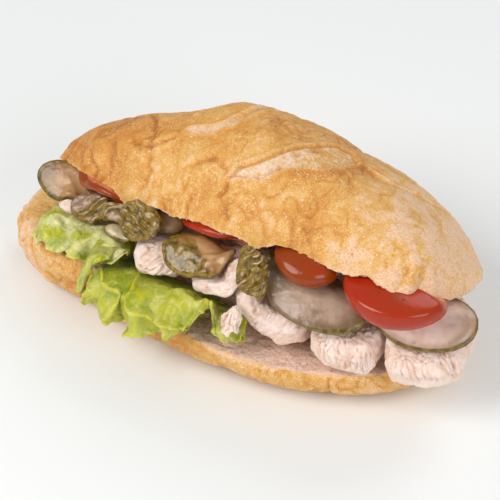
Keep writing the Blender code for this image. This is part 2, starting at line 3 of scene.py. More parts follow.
import bmesh
import bpy
import numpy as np
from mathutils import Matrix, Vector


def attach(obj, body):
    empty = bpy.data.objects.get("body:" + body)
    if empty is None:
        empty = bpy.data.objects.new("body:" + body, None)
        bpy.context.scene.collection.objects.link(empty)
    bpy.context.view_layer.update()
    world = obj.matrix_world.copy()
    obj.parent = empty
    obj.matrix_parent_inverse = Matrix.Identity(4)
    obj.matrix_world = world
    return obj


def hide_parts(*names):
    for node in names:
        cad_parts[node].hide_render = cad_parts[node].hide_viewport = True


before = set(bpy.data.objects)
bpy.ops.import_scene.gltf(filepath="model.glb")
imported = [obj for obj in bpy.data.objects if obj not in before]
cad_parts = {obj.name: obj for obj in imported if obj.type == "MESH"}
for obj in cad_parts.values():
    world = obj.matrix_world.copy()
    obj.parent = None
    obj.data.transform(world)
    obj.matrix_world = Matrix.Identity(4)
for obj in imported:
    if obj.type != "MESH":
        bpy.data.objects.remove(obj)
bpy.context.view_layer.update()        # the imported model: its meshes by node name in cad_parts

mm = 0.001
perMetre = 1000.0         # turns a size in millimetres into a texture's scale


def pickOnly(piece):
    for other in bpy.context.selected_objects:
        other.select_set(False)
    piece.select_set(True)
    bpy.context.view_layer.objects.active = piece


def copyOfNode(node, name):
    # the node's mesh is loose triangles, so the copy is merged first
    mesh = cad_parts[node].data.copy()
    mesh.name = name
    mesh.materials.clear()
    piece = bpy.data.objects.new(name, mesh)
    bpy.context.scene.collection.objects.link(piece)
    pickOnly(piece)
    bpy.ops.object.mode_set(mode="EDIT")
    bpy.ops.mesh.select_all(action="SELECT")
    bpy.ops.mesh.remove_doubles(threshold=0.00002)
    bpy.ops.object.mode_set(mode="OBJECT")
    return piece


def applyModifier(piece, kind, **values):
    pickOnly(piece)
    modifier = piece.modifiers.new(kind.lower(), kind)
    for key, value in values.items():
        setattr(modifier, key, value)
    bpy.ops.object.modifier_apply(modifier=modifier.name)


def smoothShade(piece):
    pickOnly(piece)
    bpy.ops.object.shade_smooth()


# places are read and moved in millimetres

def readRows(items, field, width, kind):
    flat = np.empty(len(items) * width, kind)
    items.foreach_get(field, flat)
    return flat.reshape(-1, width)


def pointsOf(piece):
    return readRows(piece.data.vertices, "co", 3, np.float32).astype(np.float64) / mm


def normalsOf(piece):
    return readRows(piece.data.vertex_normals, "vector", 3, np.float32).astype(np.float64)


def edgesOf(piece):
    return readRows(piece.data.edges, "vertices", 2, np.int32)


def movePoints(piece, places):
    piece.data.vertices.foreach_set("co", (places * mm).astype(np.float32).ravel())
    piece.data.update()


def keepMasks(piece, **masks):
    # a value from 0 to 1 at each point, for the material to read
    for name, values in masks.items():
        mask = piece.data.attributes.new(name, "FLOAT", "POINT")
        mask.data.foreach_set("value", np.clip(values, 0.0, 1.0).astype(np.float32))


def relaxed(piece, values, rounds):
    # each point's value blended with its neighbours' along the edges
    a, b = edgesOf(piece).T
    values = np.asarray(values, np.float64)
    wide = values.reshape(len(values), -1)
    count = np.bincount(np.concatenate([a, b]), minlength=len(values))[:, None]
    for _ in range(rounds):
        total = np.zeros_like(wide)
        for column in range(wide.shape[1]):
            total[:, column] = (np.bincount(a, wide[b, column], len(values))
                                + np.bincount(b, wide[a, column], len(values)))
        wide = 0.5 * wide + 0.5 * total / np.maximum(count, 1)
    return wide.reshape(values.shape)


def hollowsOf(piece, rounds):
    # how far each point lies below its surroundings, in mm: above zero in hollows, below zero on ridges
    places = pointsOf(piece)
    return ((relaxed(piece, places, rounds) - places) * normalsOf(piece)).sum(1)


def fittedCopy(node, name, spacing, rounds):
    # the node's shape in fine even points: rounded, drawn back onto the solid, then smoothed
    piece = copyOfNode(node, name)
    applyModifier(piece, "SUBSURF", levels=2, render_levels=2)
    applyModifier(piece, "REMESH", mode="VOXEL", voxel_size=spacing * mm, use_smooth_shade=True)
    applyModifier(piece, "SHRINKWRAP", target=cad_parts[node], wrap_method="NEAREST_SURFACEPOINT")
    movePoints(piece, relaxed(piece, pointsOf(piece), rounds))
    return piece


def largestPart(piece):
    # loose crumbs left by the remesh are dropped
    name = piece.name
    pickOnly(piece)
    bpy.ops.mesh.separate(type="LOOSE")
    parts = sorted(bpy.context.selected_objects, key=lambda part: len(part.data.vertices))
    for part in parts[:-1]:
        bpy.data.objects.remove(part)
    parts[-1].name = name
    parts[-1].data.name = name
    return parts[-1]


def breadCopy(node, name, rounds, sags=()):
    # the sharp rim stays, and hangs lower over the fillings where the sags are
    piece = copyOfNode(node, name)
    places, normals = pointsOf(piece), normalsOf(piece)
    for x, reach, drop in sags:
        sag = drop * bell(places[:, 0] - x, reach) * step(0.45, -0.1, normals[:, 2])
        places[:, 2] -= sag
        places[:, 1] -= 0.5 * sag * step(0.0, -15.0, places[:, 1])
    movePoints(piece, places)
    applyModifier(piece, "REMESH", mode="VOXEL", voxel_size=bread["spacing"] * mm, use_smooth_shade=True)
    piece = largestPart(piece)
    movePoints(piece, relaxed(piece, pointsOf(piece), rounds))
    return piece


def finishPiece(piece, node, material):
    piece.data.materials.append(material)
    smoothShade(piece)
    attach(piece, "root")
    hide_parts(node)
    return len(piece.data.polygons)


def step(low, high, values):
    t = np.clip((values - low) / (high - low), 0.0, 1.0)
    return t * t * (3 - 2 * t)


def bell(values, width):
    return np.exp(-(values / width) ** 2)


def scramble(x, y, z, seed):
    h = (x * 374761393 + y * 668265263 + z * 1440662683 + seed * 974634777) & 0xFFFFFFFF
    h = ((h ^ (h >> 13)) * 1274126177) & 0xFFFFFFFF
    return h ^ (h >> 16)


def softNoise(places, size, seed=0):
    # smooth noise from about -1 to 1 with bumps about size across; size may differ along x, y and z
    scaled = places / np.asarray(size, float) + seed * 7.31
    cell = np.floor(scaled).astype(np.int64)
    f = scaled - cell
    u = f * f * f * (f * (f * 6 - 15) + 10)
    total = np.zeros(len(places))
    for dx in (0, 1):
        for dy in (0, 1):
            for dz in (0, 1):
                h = scramble(*(cell + (dx, dy, dz)).T, seed)
                slopeX, slopeY, slopeZ = (((h >> shift) & 1023) / 511.5 - 1 for shift in (0, 10, 20))
                dot = slopeX * (f[:, 0] - dx) + slopeY * (f[:, 1] - dy) + slopeZ * (f[:, 2] - dz)
                weight = ((u[:, 0] if dx else 1 - u[:, 0]) * (u[:, 1] if dy else 1 - u[:, 1])
                          * (u[:, 2] if dz else 1 - u[:, 2]))
                total += weight * dot
    return 1.3 * total


def layeredNoise(places, size, layers, seed=0):
    total, amount = np.zeros(len(places)), 1.0
    size = np.asarray(size, float)
    for layer in range(layers):
        total += amount * softNoise(places, size / 2 ** layer, seed + layer)
        amount *= 0.5
    return total


def bentBy(places, size, amount, seed):
    return places + amount * np.stack([softNoise(places, size, seed + k) for k in range(3)], 1)


def nearestCell(places, size, seed=0):
    # distance to the nearest of scattered points, one in each cube of the size, from 0 to about 1
    scaled = places / size
    cell = np.floor(scaled).astype(np.int64)
    best = np.full(len(places), 9.0)
    for dx in (-1, 0, 1):
        for dy in (-1, 0, 1):
            for dz in (-1, 0, 1):
                c = cell + (dx, dy, dz)
                h = scramble(*c.T, seed)
                spot = c + np.stack([(h & 1023), (h >> 10) & 1023, (h >> 20) & 1023], 1) / 1023
                best = np.minimum(best, ((spot - scaled) ** 2).sum(1))
    return np.sqrt(best)


def alongPath(places, path):
    # distance to a path of (x, y) points seen from above, and how far along it the nearest place lies
    path = np.asarray(path, float)
    lengths = np.hypot(*(path[1:] - path[:-1]).T)
    starts = np.concatenate([[0], np.cumsum(lengths)])
    best = np.full(len(places), 1e9)
    share = np.zeros(len(places))
    for k in range(len(path) - 1):
        run = path[k + 1] - path[k]
        t = np.clip(((places[:, :2] - path[k]) @ run) / (run @ run), 0, 1)
        gap = places[:, :2] - path[k] - t[:, None] * run
        far = np.hypot(*gap.T)
        closer = far < best
        best[closer] = far[closer]
        share[closer] = ((starts[k] + t * lengths[k]) / starts[-1])[closer]
    return best, share


def insideOutline(places, outline):
    inside = np.zeros(len(places), bool)
    x, y = places[:, 0], places[:, 1]
    for (x0, y0), (x1, y1) in zip(outline, outline[1:] + outline[:1]):
        if y0 != y1:
            crosses = (y0 > y) != (y1 > y)
            inside ^= crosses & (x < (x1 - x0) * (y - y0) / (y1 - y0) + x0)
    return inside


# shader nodes

def newMaterial(name):
    material = bpy.data.materials.new(name)
    material.use_nodes = True
    return material, material.node_tree, material.node_tree.nodes["Principled BSDF"]


def addNode(tree, kind, links=(), **values):
    # a node with its sockets filled in or linked, and its settings set
    node = tree.nodes.new(kind)
    for key, value in values.items():
        if key in node.inputs:
            node.inputs[key].default_value = value
        else:
            setattr(node, key, value)
    for socket, source in dict(links).items():
        tree.links.new(source, node.inputs[socket])
    return node


def ramp(tree, source, *stops):
    node = tree.nodes.new("ShaderNodeValToRGB")
    tree.links.new(source, node.inputs["Fac"])
    marks = node.color_ramp.elements
    while len(marks) < len(stops):
        marks.new(0.5)
    for mark, (place, colour) in zip(marks, stops):
        mark.position = place
        mark.color = (colour, colour, colour, 1.0) if isinstance(colour, float) else (*colour, 1.0)
    return node.outputs["Color"]


def maths(tree, operation, first, second=0.0, clamp=False):
    node = tree.nodes.new("ShaderNodeMath")
    node.operation = operation
    node.use_clamp = clamp
    for socket, value in zip(node.inputs, (first, second)):
        if isinstance(value, (int, float)):
            socket.default_value = value
        else:
            tree.links.new(value, socket)
    return node.outputs[0]


def mixed(tree, share, first, second, blend="MIX"):
    node = tree.nodes.new("ShaderNodeMix")
    node.data_type = "RGBA"
    node.blend_type = blend
    sockets = [node.inputs["Factor"]] + [s for s in node.inputs if s.type == "RGBA"]
    for socket, value in zip(sockets, (share, first, second)):
        if isinstance(value, (int, float)):
            socket.default_value = value
        elif isinstance(value, tuple):
            socket.default_value = (*value, 1.0)
        else:
            tree.links.new(value, socket)
    return [s for s in node.outputs if s.type == "RGBA"][0]


def times(tree, first, second):
    return maths(tree, "MULTIPLY", first, second)


def maskOf(tree, name, amount=None):
    mask = addNode(tree, "ShaderNodeAttribute", attribute_name=name, attribute_type="GEOMETRY").outputs["Fac"]
    return times(tree, mask, amount) if amount else mask


def placesOf(tree):
    return addNode(tree, "ShaderNodeTexCoord").outputs["Object"]


def noiseAt(tree, places, across, detail=3.0, roughness=0.55, distortion=0.0):
    # a noise whose bumps are about this many millimetres across
    node = addNode(tree, "ShaderNodeTexNoise", {"Vector": places}, Scale=perMetre / across, Detail=detail,
                   Roughness=roughness, Distortion=distortion)
    return node.outputs["Fac"]


def noiseIn(group, places, scale, **values):
    return addNode(group, "ShaderNodeTexNoise", {"Vector": places, "Scale": scale}, **values).outputs["Fac"]


def newGroup(name, inputs, outputs):
    group = bpy.data.node_groups.new(name, "ShaderNodeTree")
    for label, kind, value in inputs:
        socket = group.interface.new_socket(name=label, in_out="INPUT", socket_type=kind)
        if value is not None:
            socket.default_value = value
    for label, kind in outputs:
        group.interface.new_socket(name=label, in_out="OUTPUT", socket_type=kind)
    given = group.nodes.new("NodeGroupInput")
    return group, list(given.outputs)[:len(inputs)], group.nodes.new("NodeGroupOutput")


def makeSpecks():
    # small uneven specks scattered in patches
    group, (places, scale, size, patches), out = newGroup(
        "scatteredSpecks",
        (("Places", "NodeSocketVector", None), ("Scale", "NodeSocketFloat", 900.0),
         ("Size", "NodeSocketFloat", 0.2), ("Patches", "NodeSocketFloat", 0.5)),
        (("Specks", "NodeSocketFloat"),))
    spots = addNode(group, "ShaderNodeTexVoronoi", {"Vector": places, "Scale": scale})
    fine = noiseIn(group, places, times(group, scale, 2.0), Detail=2.0)
    patch = noiseIn(group, places, times(group, scale, 0.16), Detail=2.0)
    wobble = times(group, maths(group, "SUBTRACT", fine, 0.5), 0.35)
    near = maths(group, "LESS_THAN", maths(group, "ADD", spots.outputs["Distance"], wobble), size)
    shown = maths(group, "GREATER_THAN", patch, patches)
    group.links.new(times(group, near, shown), out.inputs["Specks"])
    return group


def makeMottle():
    # an uneven tone from 0 to 1, broad patches with finer ones over them
    group, (places, broadScale, fineScale, fineShare), out = newGroup(
        "unevenTone",
        (("Places", "NodeSocketVector", None), ("Broad", "NodeSocketFloat", 50.0),
         ("Fine", "NodeSocketFloat", 300.0), ("Fine Share", "NodeSocketFloat", 0.4)),
        (("Tone", "NodeSocketFloat"),))
    broad = noiseIn(group, places, broadScale, Detail=3.0, Roughness=0.55, Distortion=0.4)
    fine = noiseIn(group, places, fineScale, Detail=4.0, Roughness=0.65)
    blend = addNode(group, "ShaderNodeMix", {"Factor": fineShare, "A": broad, "B": fine})
    group.links.new(blend.outputs[0], out.inputs["Tone"])
    return group


specksGroup = makeSpecks()
mottleGroup = makeMottle()


def groupAt(tree, group, places, *values):
    # the group with its values filled in, in the order of its inputs
    node = addNode(tree, "ShaderNodeGroup", {"Places": places}, node_tree=group)
    for socket, value in zip(node.inputs[1:], values):
        socket.default_value = value
    return node.outputs[0]


def specks(tree, places, across, size, patches):
    return groupAt(tree, specksGroup, places, perMetre / across, size, patches)


def mottle(tree, places, broad, fine, share):
    return groupAt(tree, mottleGroup, places, perMetre / broad, perMetre / fine, share)


def bumped(tree, shader, height, depth, strength=1.0):
    # depth is the bump's height in millimetres
    bump = addNode(tree, "ShaderNodeBump", {"Height": height}, Strength=strength, Distance=depth * mm)
    tree.links.new(bump.outputs["Normal"], shader.inputs["Normal"])


def setShader(shader, **values):
    # a value that varies over the surface is linked, a plain one is set on the socket
    for key, value in values.items():
        socket = shader.inputs[key.replace("_", " ")]
        if isinstance(value, bpy.types.NodeSocket):
            shader.id_data.links.new(value, socket)
        else:
            socket.default_value = value


# the bread: a baked crust with opened slashes, and the crumb of its cut faces
crustTones = {
    "dark": (0.46, 0.15, 0.018),
    "brown": (0.62, 0.25, 0.036),
    "golden": (0.70, 0.33, 0.062),
    "light": (0.78, 0.44, 0.125),
    "cream": (0.92, 0.66, 0.36),
    "pink": (0.86, 0.57, 0.37),
    "slash": (0.80, 0.57, 0.37),
    "slashPale": (0.88, 0.68, 0.50),
    "toasted": (0.74, 0.43, 0.12),
    "flour": (0.95, 0.78, 0.56),
    "crumb": (0.78, 0.52, 0.41),
    "crumbPale": (0.90, 0.67, 0.54),
    "crumbDeep": (0.58, 0.34, 0.24),
    "rim": (0.84, 0.50, 0.17),
}


def makeBreadMaterial():
    material, tree, shader = newMaterial("bakedCrust")
    t = crustTones
    places = placesOf(tree)
    tone = mottle(tree, places, 24.0, 4.5, 0.45)
    # pale lifts the tone: paler crust by the rim and in patches, and a painted highlight on the ridges
    pale = maskOf(tree, "pale", 0.30)
    # painted shade, laid in creases, folds, hollows and under the slash's lips
    dark = maskOf(tree, "crease", 0.30)
    tone = maths(tree, "SUBTRACT", maths(tree, "ADD", tone, pale), dark, clamp=True)
    skin = ramp(tree, tone, (0.27, t["dark"]), (0.40, t["brown"]), (0.50, t["golden"]),
                (0.61, t["light"]), (0.76, t["pink"]))
    # the sandy grain, with paler and browner grains
    grain = noiseAt(tree, places, 0.72, 2.5, 0.85)
    sandy = ramp(tree, noiseAt(tree, places, 8.0, 3.0), (0.40, 0.35), (0.60, 1.0))
    paler = times(tree, ramp(tree, grain, (0.52, 0.0), (0.62, 0.65)), sandy)
    skin = mixed(tree, paler, skin, t["cream"])
    skin = mixed(tree, ramp(tree, grain, (0.39, 0.55), (0.48, 0.0)), skin, t["brown"])
    skin = mixed(tree, times(tree, specks(tree, places, 2.2, 0.14, 0.48), 0.55), skin, t["flour"])
    skin = mixed(tree, times(tree, specks(tree, places, 5.5, 0.06, 0.45), 0.7), skin, t["dark"])
    # the open slashes: cream, toasted in places
    speckle = noiseAt(tree, places, 1.3, 3.0, 0.75)
    toasting = maths(tree, "ADD", maskOf(tree, "toasted", 0.22), speckle)
    opened = ramp(tree, toasting, (0.42, t["slashPale"]), (0.55, t["slash"]), (0.66, t["toasted"]),
                  (0.76, t["golden"]))
    # the slash takes painted shade under its front lip, along its back lip and in its hollows
    opened = mixed(tree, maskOf(tree, "crease", 0.85), opened, t["brown"])
    skin = mixed(tree, maskOf(tree, "slash"), skin, opened)
    # the cut crumb: pores and a toasted rim
    pores = noiseAt(tree, places, 1.3, 4.0, 0.62, 0.5)
    crumb = ramp(tree, pores, (0.30, t["crumbDeep"]), (0.43, t["crumb"]), (0.62, t["crumbPale"]))
    cut = maskOf(tree, "crumb")
    skin = mixed(tree, ramp(tree, cut, (0.30, 0.0), (0.42, 0.8), (0.7, 0.8)), skin, t["rim"])
    skin = mixed(tree, ramp(tree, cut, (0.50, 0.0), (0.80, 1.0)), skin, crumb)
    rough = mixed(tree, cut, (0.52, 0.52, 0.52), (0.85, 0.85, 0.85))
    height = maths(tree, "ADD", noiseAt(tree, places, 1.5, 4.0, 0.7),
                   times(tree, times(tree, pores, cut), 1.6))
    bumped(tree, shader, height, 0.5, 0.85)
    setShader(shader, Base_Color=skin, Roughness=rough, Subsurface_Weight=0.06, Subsurface_Scale=0.002,
              Subsurface_Radius=(1.0, 0.45, 0.2), Specular_IOR_Level=0.35)
    return material


breadMaterial = makeBreadMaterial()

bread = {
    "spacing": 0.74,          # between the points of the finished crust
    "fold": 0.7,              # depth of the fine folds
    "swell": 0.6,
    "blister": 0.2,
    "pore": 0.9,
    "lean": 28.0,             # how far the upper half's cut face is tilted
    # where the upper half's rim sags: place along the roll, reach, drop
    "sags": ((-76.0, 22.0, 3.8), (-43.0, 17.0, 3.4), (8.0, 16.0, 1.5), (76.0, 24.0, 5.0)),
    "lobe": 2.2,
    # the main slash lies between these two lips, seen from above
    "frontLip": ((-1.2, -13.0), (6.1, -12.6), (12.0, -11.9), (14.2, -9.2), (16.6, -7.1), (21.7, -4.4),
                 (25.2, -1.8), (28.8, -1.8), (32.2, 1.0), (36.0, 7.2), (38.6, 17.2)),
    "backLip": ((-1.2, -12.8), (1.0, -9.3), (4.2, -8.1), (6.9, -6.6), (11.5, -2.6), (15.5, 2.6),
                (19.0, 8.4), (22.1, 13.2), (25.2, 19.2), (28.9, 24.0), (33.9, 24.2), (38.6, 17.6)),
    "hollows": ((24.2, 13.0, 3.6, 1.5, 1.7), (19.5, 4.0, 2.0, 0.9, 0.9), (15.5, -6.0, 1.6, 0.8, 0.9)),
    "seam": ((38.6, 17.4), (41.5, 20.6), (47.5, 19.6), (53.5, 17.7), (59.0, 22.3), (69.5, 30.8)),
    "backSlash": ((-27.5, 7.0), (-22.0, 7.6), (-17.5, 6.6), (-12.8, 10.2), (-10.0, 15.8), (-7.2, 22.5),
                  (-4.0, 33.5)),
    # creases: half width, depth, then the places they run through
    "creases": (
        (1.6, 1.4, ((-51.4, 24.2), (-45.1, 12.1), (-43.0, 4.8), (-41.6, 0.9))),
        (1.3, 0.9, ((-51.3, 4.5), (-46.1, 1.0), (-41.3, 0.1), (-33.0, 3.0))),
        (1.8, 1.2, ((-40.8, -2.0), (-40.1, -6.5), (-38.2, -8.7), (-40.0, -11.8), (-41.7, -13.0))),
        (1.7, 1.4, ((-1.5, -13.3), (-2.6, -16.4), (-4.3, -18.3), (-1.2, -20.7), (1.4, -22.8))),
        (1.5, 1.0, ((-22.8, -9.1), (-16.8, -8.0), (-11.2, -6.2))),
        (1.8, 1.1, ((-12.4, -6.5), (-7.5, -7.9), (-3.6, -11.1))),
        (1.6, 1.1, ((-29.3, -17.2), (-27.0, -19.4), (-26.0, -21.0))),
        (1.4, 0.9, ((-16.9, -17.7), (-17.9, -20.4), (-17.0, -22.5))),
        (2.0, 1.4, ((75.5, -27.0), (74.8, -29.5))),
        (2.0, 1.6, ((81.5, -25.8), (80.5, -28.5))),
        (1.2, 0.6, ((13.0, -22.0), (18.0, -21.0), (21.0, -22.5))),
        (1.4, 0.7, ((28.0, -23.0), (29.5, -27.0), (29.0, -30.0))),
    ),
}


def crustRelief(places, side, seed):
    # broad dents, folds between them, and blisters; side is 1 on the crust and 0 on the cut face
    bent = bentBy(places, 14.0, 4.0, seed)
    ridges = 1 - np.abs(layeredNoise(bent, (12.0, 19.0, 19.0), 2, seed + 4)) * 2.6
    folds = np.clip(ridges, 0, 1) ** 3 * step(-0.3, 0.3, softNoise(places, 30.0, seed + 6))
    rise = layeredNoise(bent, 13.0, 3, seed + 8)
    fine = layeredNoise(places, 2.8, 2, seed + 12)
    crinkles = np.clip(1 - 4.0 * np.abs(softNoise(bent, (5.0, 8.0, 8.0), seed + 14)), 0, 1) ** 2
    crinkles *= step(-0.15, 0.3, softNoise(places, 18.0, seed + 16))
    relief = bread["swell"] * rise - bread["fold"] * (0.9 * folds + 0.7 * crinkles) + bread["blister"] * fine
    return side * relief, np.maximum(folds, 0.8 * crinkles), rise


def lipOf(piece, cut):
    # 1 on the crust beside the cut, fading over a few millimetres
    lip = relaxed(piece, relaxed(piece, cut, 10) * (1 - cut) * 2.2, 5)
    return np.clip(lip, 0, 1)


def puffsOf(places, broad, fine, share, seed):
    # upright puffs along the rim, broad ones with finer ones between them
    puffs = softNoise(places * (1, 0.25, 0.25), broad, seed)
    return puffs + share * softNoise(places * (1, 0.4, 0.4), fine, seed + 1)


def mainSlash(bent, places, above):
    # its floor lies low behind the front lip and rises to the back lip
    frontFar, share = alongPath(bent, bread["frontLip"])
    backFar, _ = alongPath(bent, bread["backLip"])
    inner = insideOutline(bent, list(bread["frontLip"]) + list(bread["backLip"])[::-1])
    depth = np.where(inner, 1, -1) * np.minimum(frontFar, backFar)
    opened = step(-0.35, 0.35, depth) * above
    across = frontFar / (frontFar + backFar + 1e-6)
    size = np.clip((frontFar + backFar) / 4.0, 0, 1)
    floor = -size * (0.3 + 1.7 * (1 - across) ** 1.2) + 0.35 * layeredNoise(places, 3.2, 2, 41)
    hollow = np.zeros(len(places))
    for x, y, long, wide, deep in bread["hollows"]:
        # each hollow runs along the slash, which heads up and to the right
        a = ((places[:, 0] - x) * 0.5 + (places[:, 1] - y) * 0.87) / long
        b = ((places[:, 0] - x) * 0.87 - (places[:, 1] - y) * 0.5) / wide
        hollow = np.maximum(hollow, deep * np.exp(-a * a - b * b) / 1.7)
    outside = (1 - opened) * above
    lipUp = outside * bell(frontFar, 2.0) * (1 + 0.5 * softNoise(places, 4.0, 44))
    relief = opened * (floor - 1.6 * hollow)
    relief += 1.2 * lipUp + 0.6 * outside * bell(backFar - 1.8, 1.2)
    relief -= 0.7 * above * bell(backFar, 0.7) * size
    # toasted towards its upper end, pale on the front lip, and painted shade under it, in the hollows and at
    # the back
    toasted = step(0.38, 0.6, share) * (0.6 + 0.5 * softNoise(places, 6.0, 71)) * opened
    paleLip = 0.5 * lipUp * (frontFar < 0.8)
    underLip = outside * bell(frontFar - 2.0, 2.6) * step(0.15, 0.45, share)
    underLip *= 0.5 + 0.3 * softNoise(places, 5.0, 73)
    backLine = above * bell(backFar, 0.4) * size * (0.6 + 0.5 * softNoise(places, 6.0, 74))
    dark = np.maximum.reduce([underLip, backLine, hollow * opened])
    return relief, opened, toasted, paleLip, dark


def slashSeam(bent, places, above):
    # a low pale ridge that runs on from the main slash
    far, _ = alongPath(bent, bread["seam"])
    height = above * np.clip(0.55 + 0.7 * softNoise(places, 7.0, 34), 0.1, 1.0)
    relief = height * (0.9 * bell(far, 1.3) - 0.7 * bell(far - 2.2, 1.1))
    return relief, 0.6 * above * bell(far, 0.8)


def backSlash(bent, places, above):
    # a narrow groove with one lip over it
    far, share = alongPath(bent, bread["backSlash"])
    width = 1.9 - 1.5 * step(0.42, 0.6, share) + 0.6 * softNoise(places, 4.0, 33)
    strip = step(0.3, -0.3, far - width) * above
    return -1.0 * strip + 0.8 * above * bell(far - 2.4, 1.0), strip


def pressCreases(relief, bent, places, above):
    # the placed creases are pressed into the relief; what comes back is the painted shade along them
    dark = np.zeros(len(places))
    patchy = 0.4 + 0.5 * softNoise(places, 5.0, 75)
    for half, deep, path in bread["creases"]:
        far, _ = alongPath(bent, path)
        relief -= 0.75 * deep * bell(far, 0.75 * half) * above
        relief += 0.4 * deep * bell(far - 2.0 * half, half) * above
        dark = np.maximum(dark, bell(far, 0.5 * half) * above * patchy)
    return dark


def makeTopBread():
    piece = breadCopy("bread_top", "upperRoll", 4, bread["sags"])
    places, normals = pointsOf(piece), normalsOf(piece)
    lean = math.radians(bread["lean"])
    facing = normals @ np.array([0.0, -math.sin(lean), -math.cos(lean)])
    cut = relaxed(piece, step(0.55, 0.85, facing), 2)
    side = 1 - cut
    lip = lipOf(piece, cut)
    # away from the rim the solid's flat faces are smoothed out
    places += (1 - np.clip(2 * (lip + cut), 0, 1))[:, None] * (relaxed(piece, places, 60) - places)
    x, y, _ = places.T
    # a lobe stands up behind the back slash
    lobe = bell(np.hypot((x + 17.0) / 17.0, (y - 27.0) / 11.0), 1.0)
    places[:, 2] += bread["lobe"] * lobe * step(0.2, 0.6, normals[:, 2])
    movePoints(piece, places)
    normals = normalsOf(piece)
    above = step(0.0, 0.25, normals[:, 2]) * side
    relief, folds, rise = crustRelief(places, side, 3)
    bent = places + 0.7 * (softNoise(places, 4.5, 31) + 0.5 * softNoise(places, 1.9, 32))[:, None]
    slashRelief, opened, toasted, paleLip, slashDark = mainSlash(bent, places, above)
    seamRelief, paleSeam = slashSeam(bent, places, above)
    stripRelief, strip = backSlash(bent, places, above)
    creaseDark = pressCreases(relief, bent, places, above)
    # the rim is puffed and frayed
    puffed = 0.8 + 1.0 * step(25.0, 60.0, x)
    relief += lip * (puffed * puffsOf(places, 6.0, 2.4, 0.6, 51) + 0.35 * softNoise(places, 1.3, 53))
    # towards the right the crust swells between upright folds
    upright = softNoise(bentBy(places, 9.0, 2.5, 55) * (1, 0.3, 0.3), 8.0, 56)
    swollen = step(30.0, 65.0, x) * step(-2.0, -20.0, y) * side
    relief += 1.1 * swollen * upright
    quiet = 1 - 0.85 * np.maximum(opened, strip)
    pores = -bread["pore"] * cut * step(0.45, 0.15, nearestCell(places, 2.6, 61))
    push = relief * quiet + (slashRelief + seamRelief + stripRelief) + pores
    movePoints(piece, places + push[:, None] * normals)
    sunk = hollowsOf(piece, 8)
    lowFront = step(-4.0, -24.0, y)
    right = step(30.0, 75.0, x)
    patches = np.clip(0.35 + 0.9 * layeredNoise(places, 9.0, 2, 72), 0, 1)
    pale = 0.45 * lip + (0.45 * lowFront + 0.8 * right) * patches + 0.35 * np.clip(rise, 0, 1) + 0.5 * right
    # the ridges, where sunk is below zero, get a painted highlight
    pale += paleSeam + paleLip + np.clip(-sunk, 0, 0.5)
    # painted shade in the creases, folds, hollows and on the slash; the crust is also darker towards its left
    # end
    darkened = np.maximum.reduce([creaseDark, 0.4 * folds * side, slashDark])
    darkened += 0.9 * np.clip(sunk, 0, 0.7) * side + 0.35 * step(-35.0, -75.0, x) * side
    keepMasks(piece, crumb=cut, slash=np.maximum(opened, strip), toasted=toasted, pale=pale, crease=darkened)
    faces = finishPiece(piece, "bread_top", breadMaterial)
    print("upper half of the roll:", faces, "faces")


def makeBottomBread():
    piece = breadCopy("bread_bottom", "lowerRoll", 12)
    places, normals = pointsOf(piece), normalsOf(piece)
    cut = relaxed(piece, step(0.82, 0.95, normals[:, 2]), 2)
    side = 1 - cut
    relief, folds, rise = crustRelief(places, side, 23)
    lip = lipOf(piece, cut)
    puffs = puffsOf(places, 6.5, 2.2, 0.5, 71)
    relief = 1.5 * relief + lip * (0.8 * puffs + 0.3 * softNoise(places, 1.3, 73))
    # the left end is wrinkled from top to bottom
    leftEnd = step(-70.0, -95.0, places[:, 0]) * side
    relief += leftEnd * 0.7 * softNoise(bentBy(places, 9.0, 2.5, 75), (3.2, 3.2, 14.0), 76)
    onTable = step(3.0, 0.3, places[:, 2])
    pores = step(0.5, 0.15, nearestCell(places * (0.7, 1, 1) + 0.6 * puffs[:, None], 2.3, 81))
    big = step(0.32, 0.12, nearestCell(places * (0.6, 1, 1), 6.0, 82))
    crumbRelief = cut * (0.5 * layeredNoise(places, 5.0, 2, 83) - 0.6 * bread["pore"] * pores - 0.9 * big)
    push = relief * (1 - onTable) + crumbRelief
    places = places + push[:, None] * normals
    places[:, 2] = np.maximum(places[:, 2], 0.02)
    movePoints(piece, places)
    toastedEnd = step(-72.0, -84.0, places[:, 0] + 5.0 * puffs)
    sunk = hollowsOf(piece, 8)
    # paler by the rim and at the left end, with a painted highlight on the ridges
    pale = 0.6 * lip + 0.5 * np.clip(rise, 0, 1) + 0.22 + 0.4 * leftEnd + np.clip(-sunk, 0, 0.5)
    # painted shade in the folds and hollows, and a painted shadow where the crust meets the table
    darkened = 0.4 * folds * side + 0.45 * onTable + np.clip(sunk, 0, 0.6) * side
    keepMasks(piece, crumb=cut * (1 - 0.62 * toastedEnd), slash=0 * cut, toasted=0 * cut, pale=pale,
              crease=darkened)
    faces = finishPiece(piece, "bread_bottom", breadMaterial)
    print("lower half of the roll:", faces, "faces")


makeTopBread()
makeBottomBread()


# chicken breast: fibrous cut faces, a smooth tan edge below
chickenTones = {
    "cream": (0.82, 0.60, 0.49),
    "pink": (0.68, 0.41, 0.30),
    "white": (0.92, 0.75, 0.67),
    "tan": (0.78, 0.53, 0.34),
    # deep is a painted shade for the grooves
    "deep": (0.50, 0.26, 0.17),
}


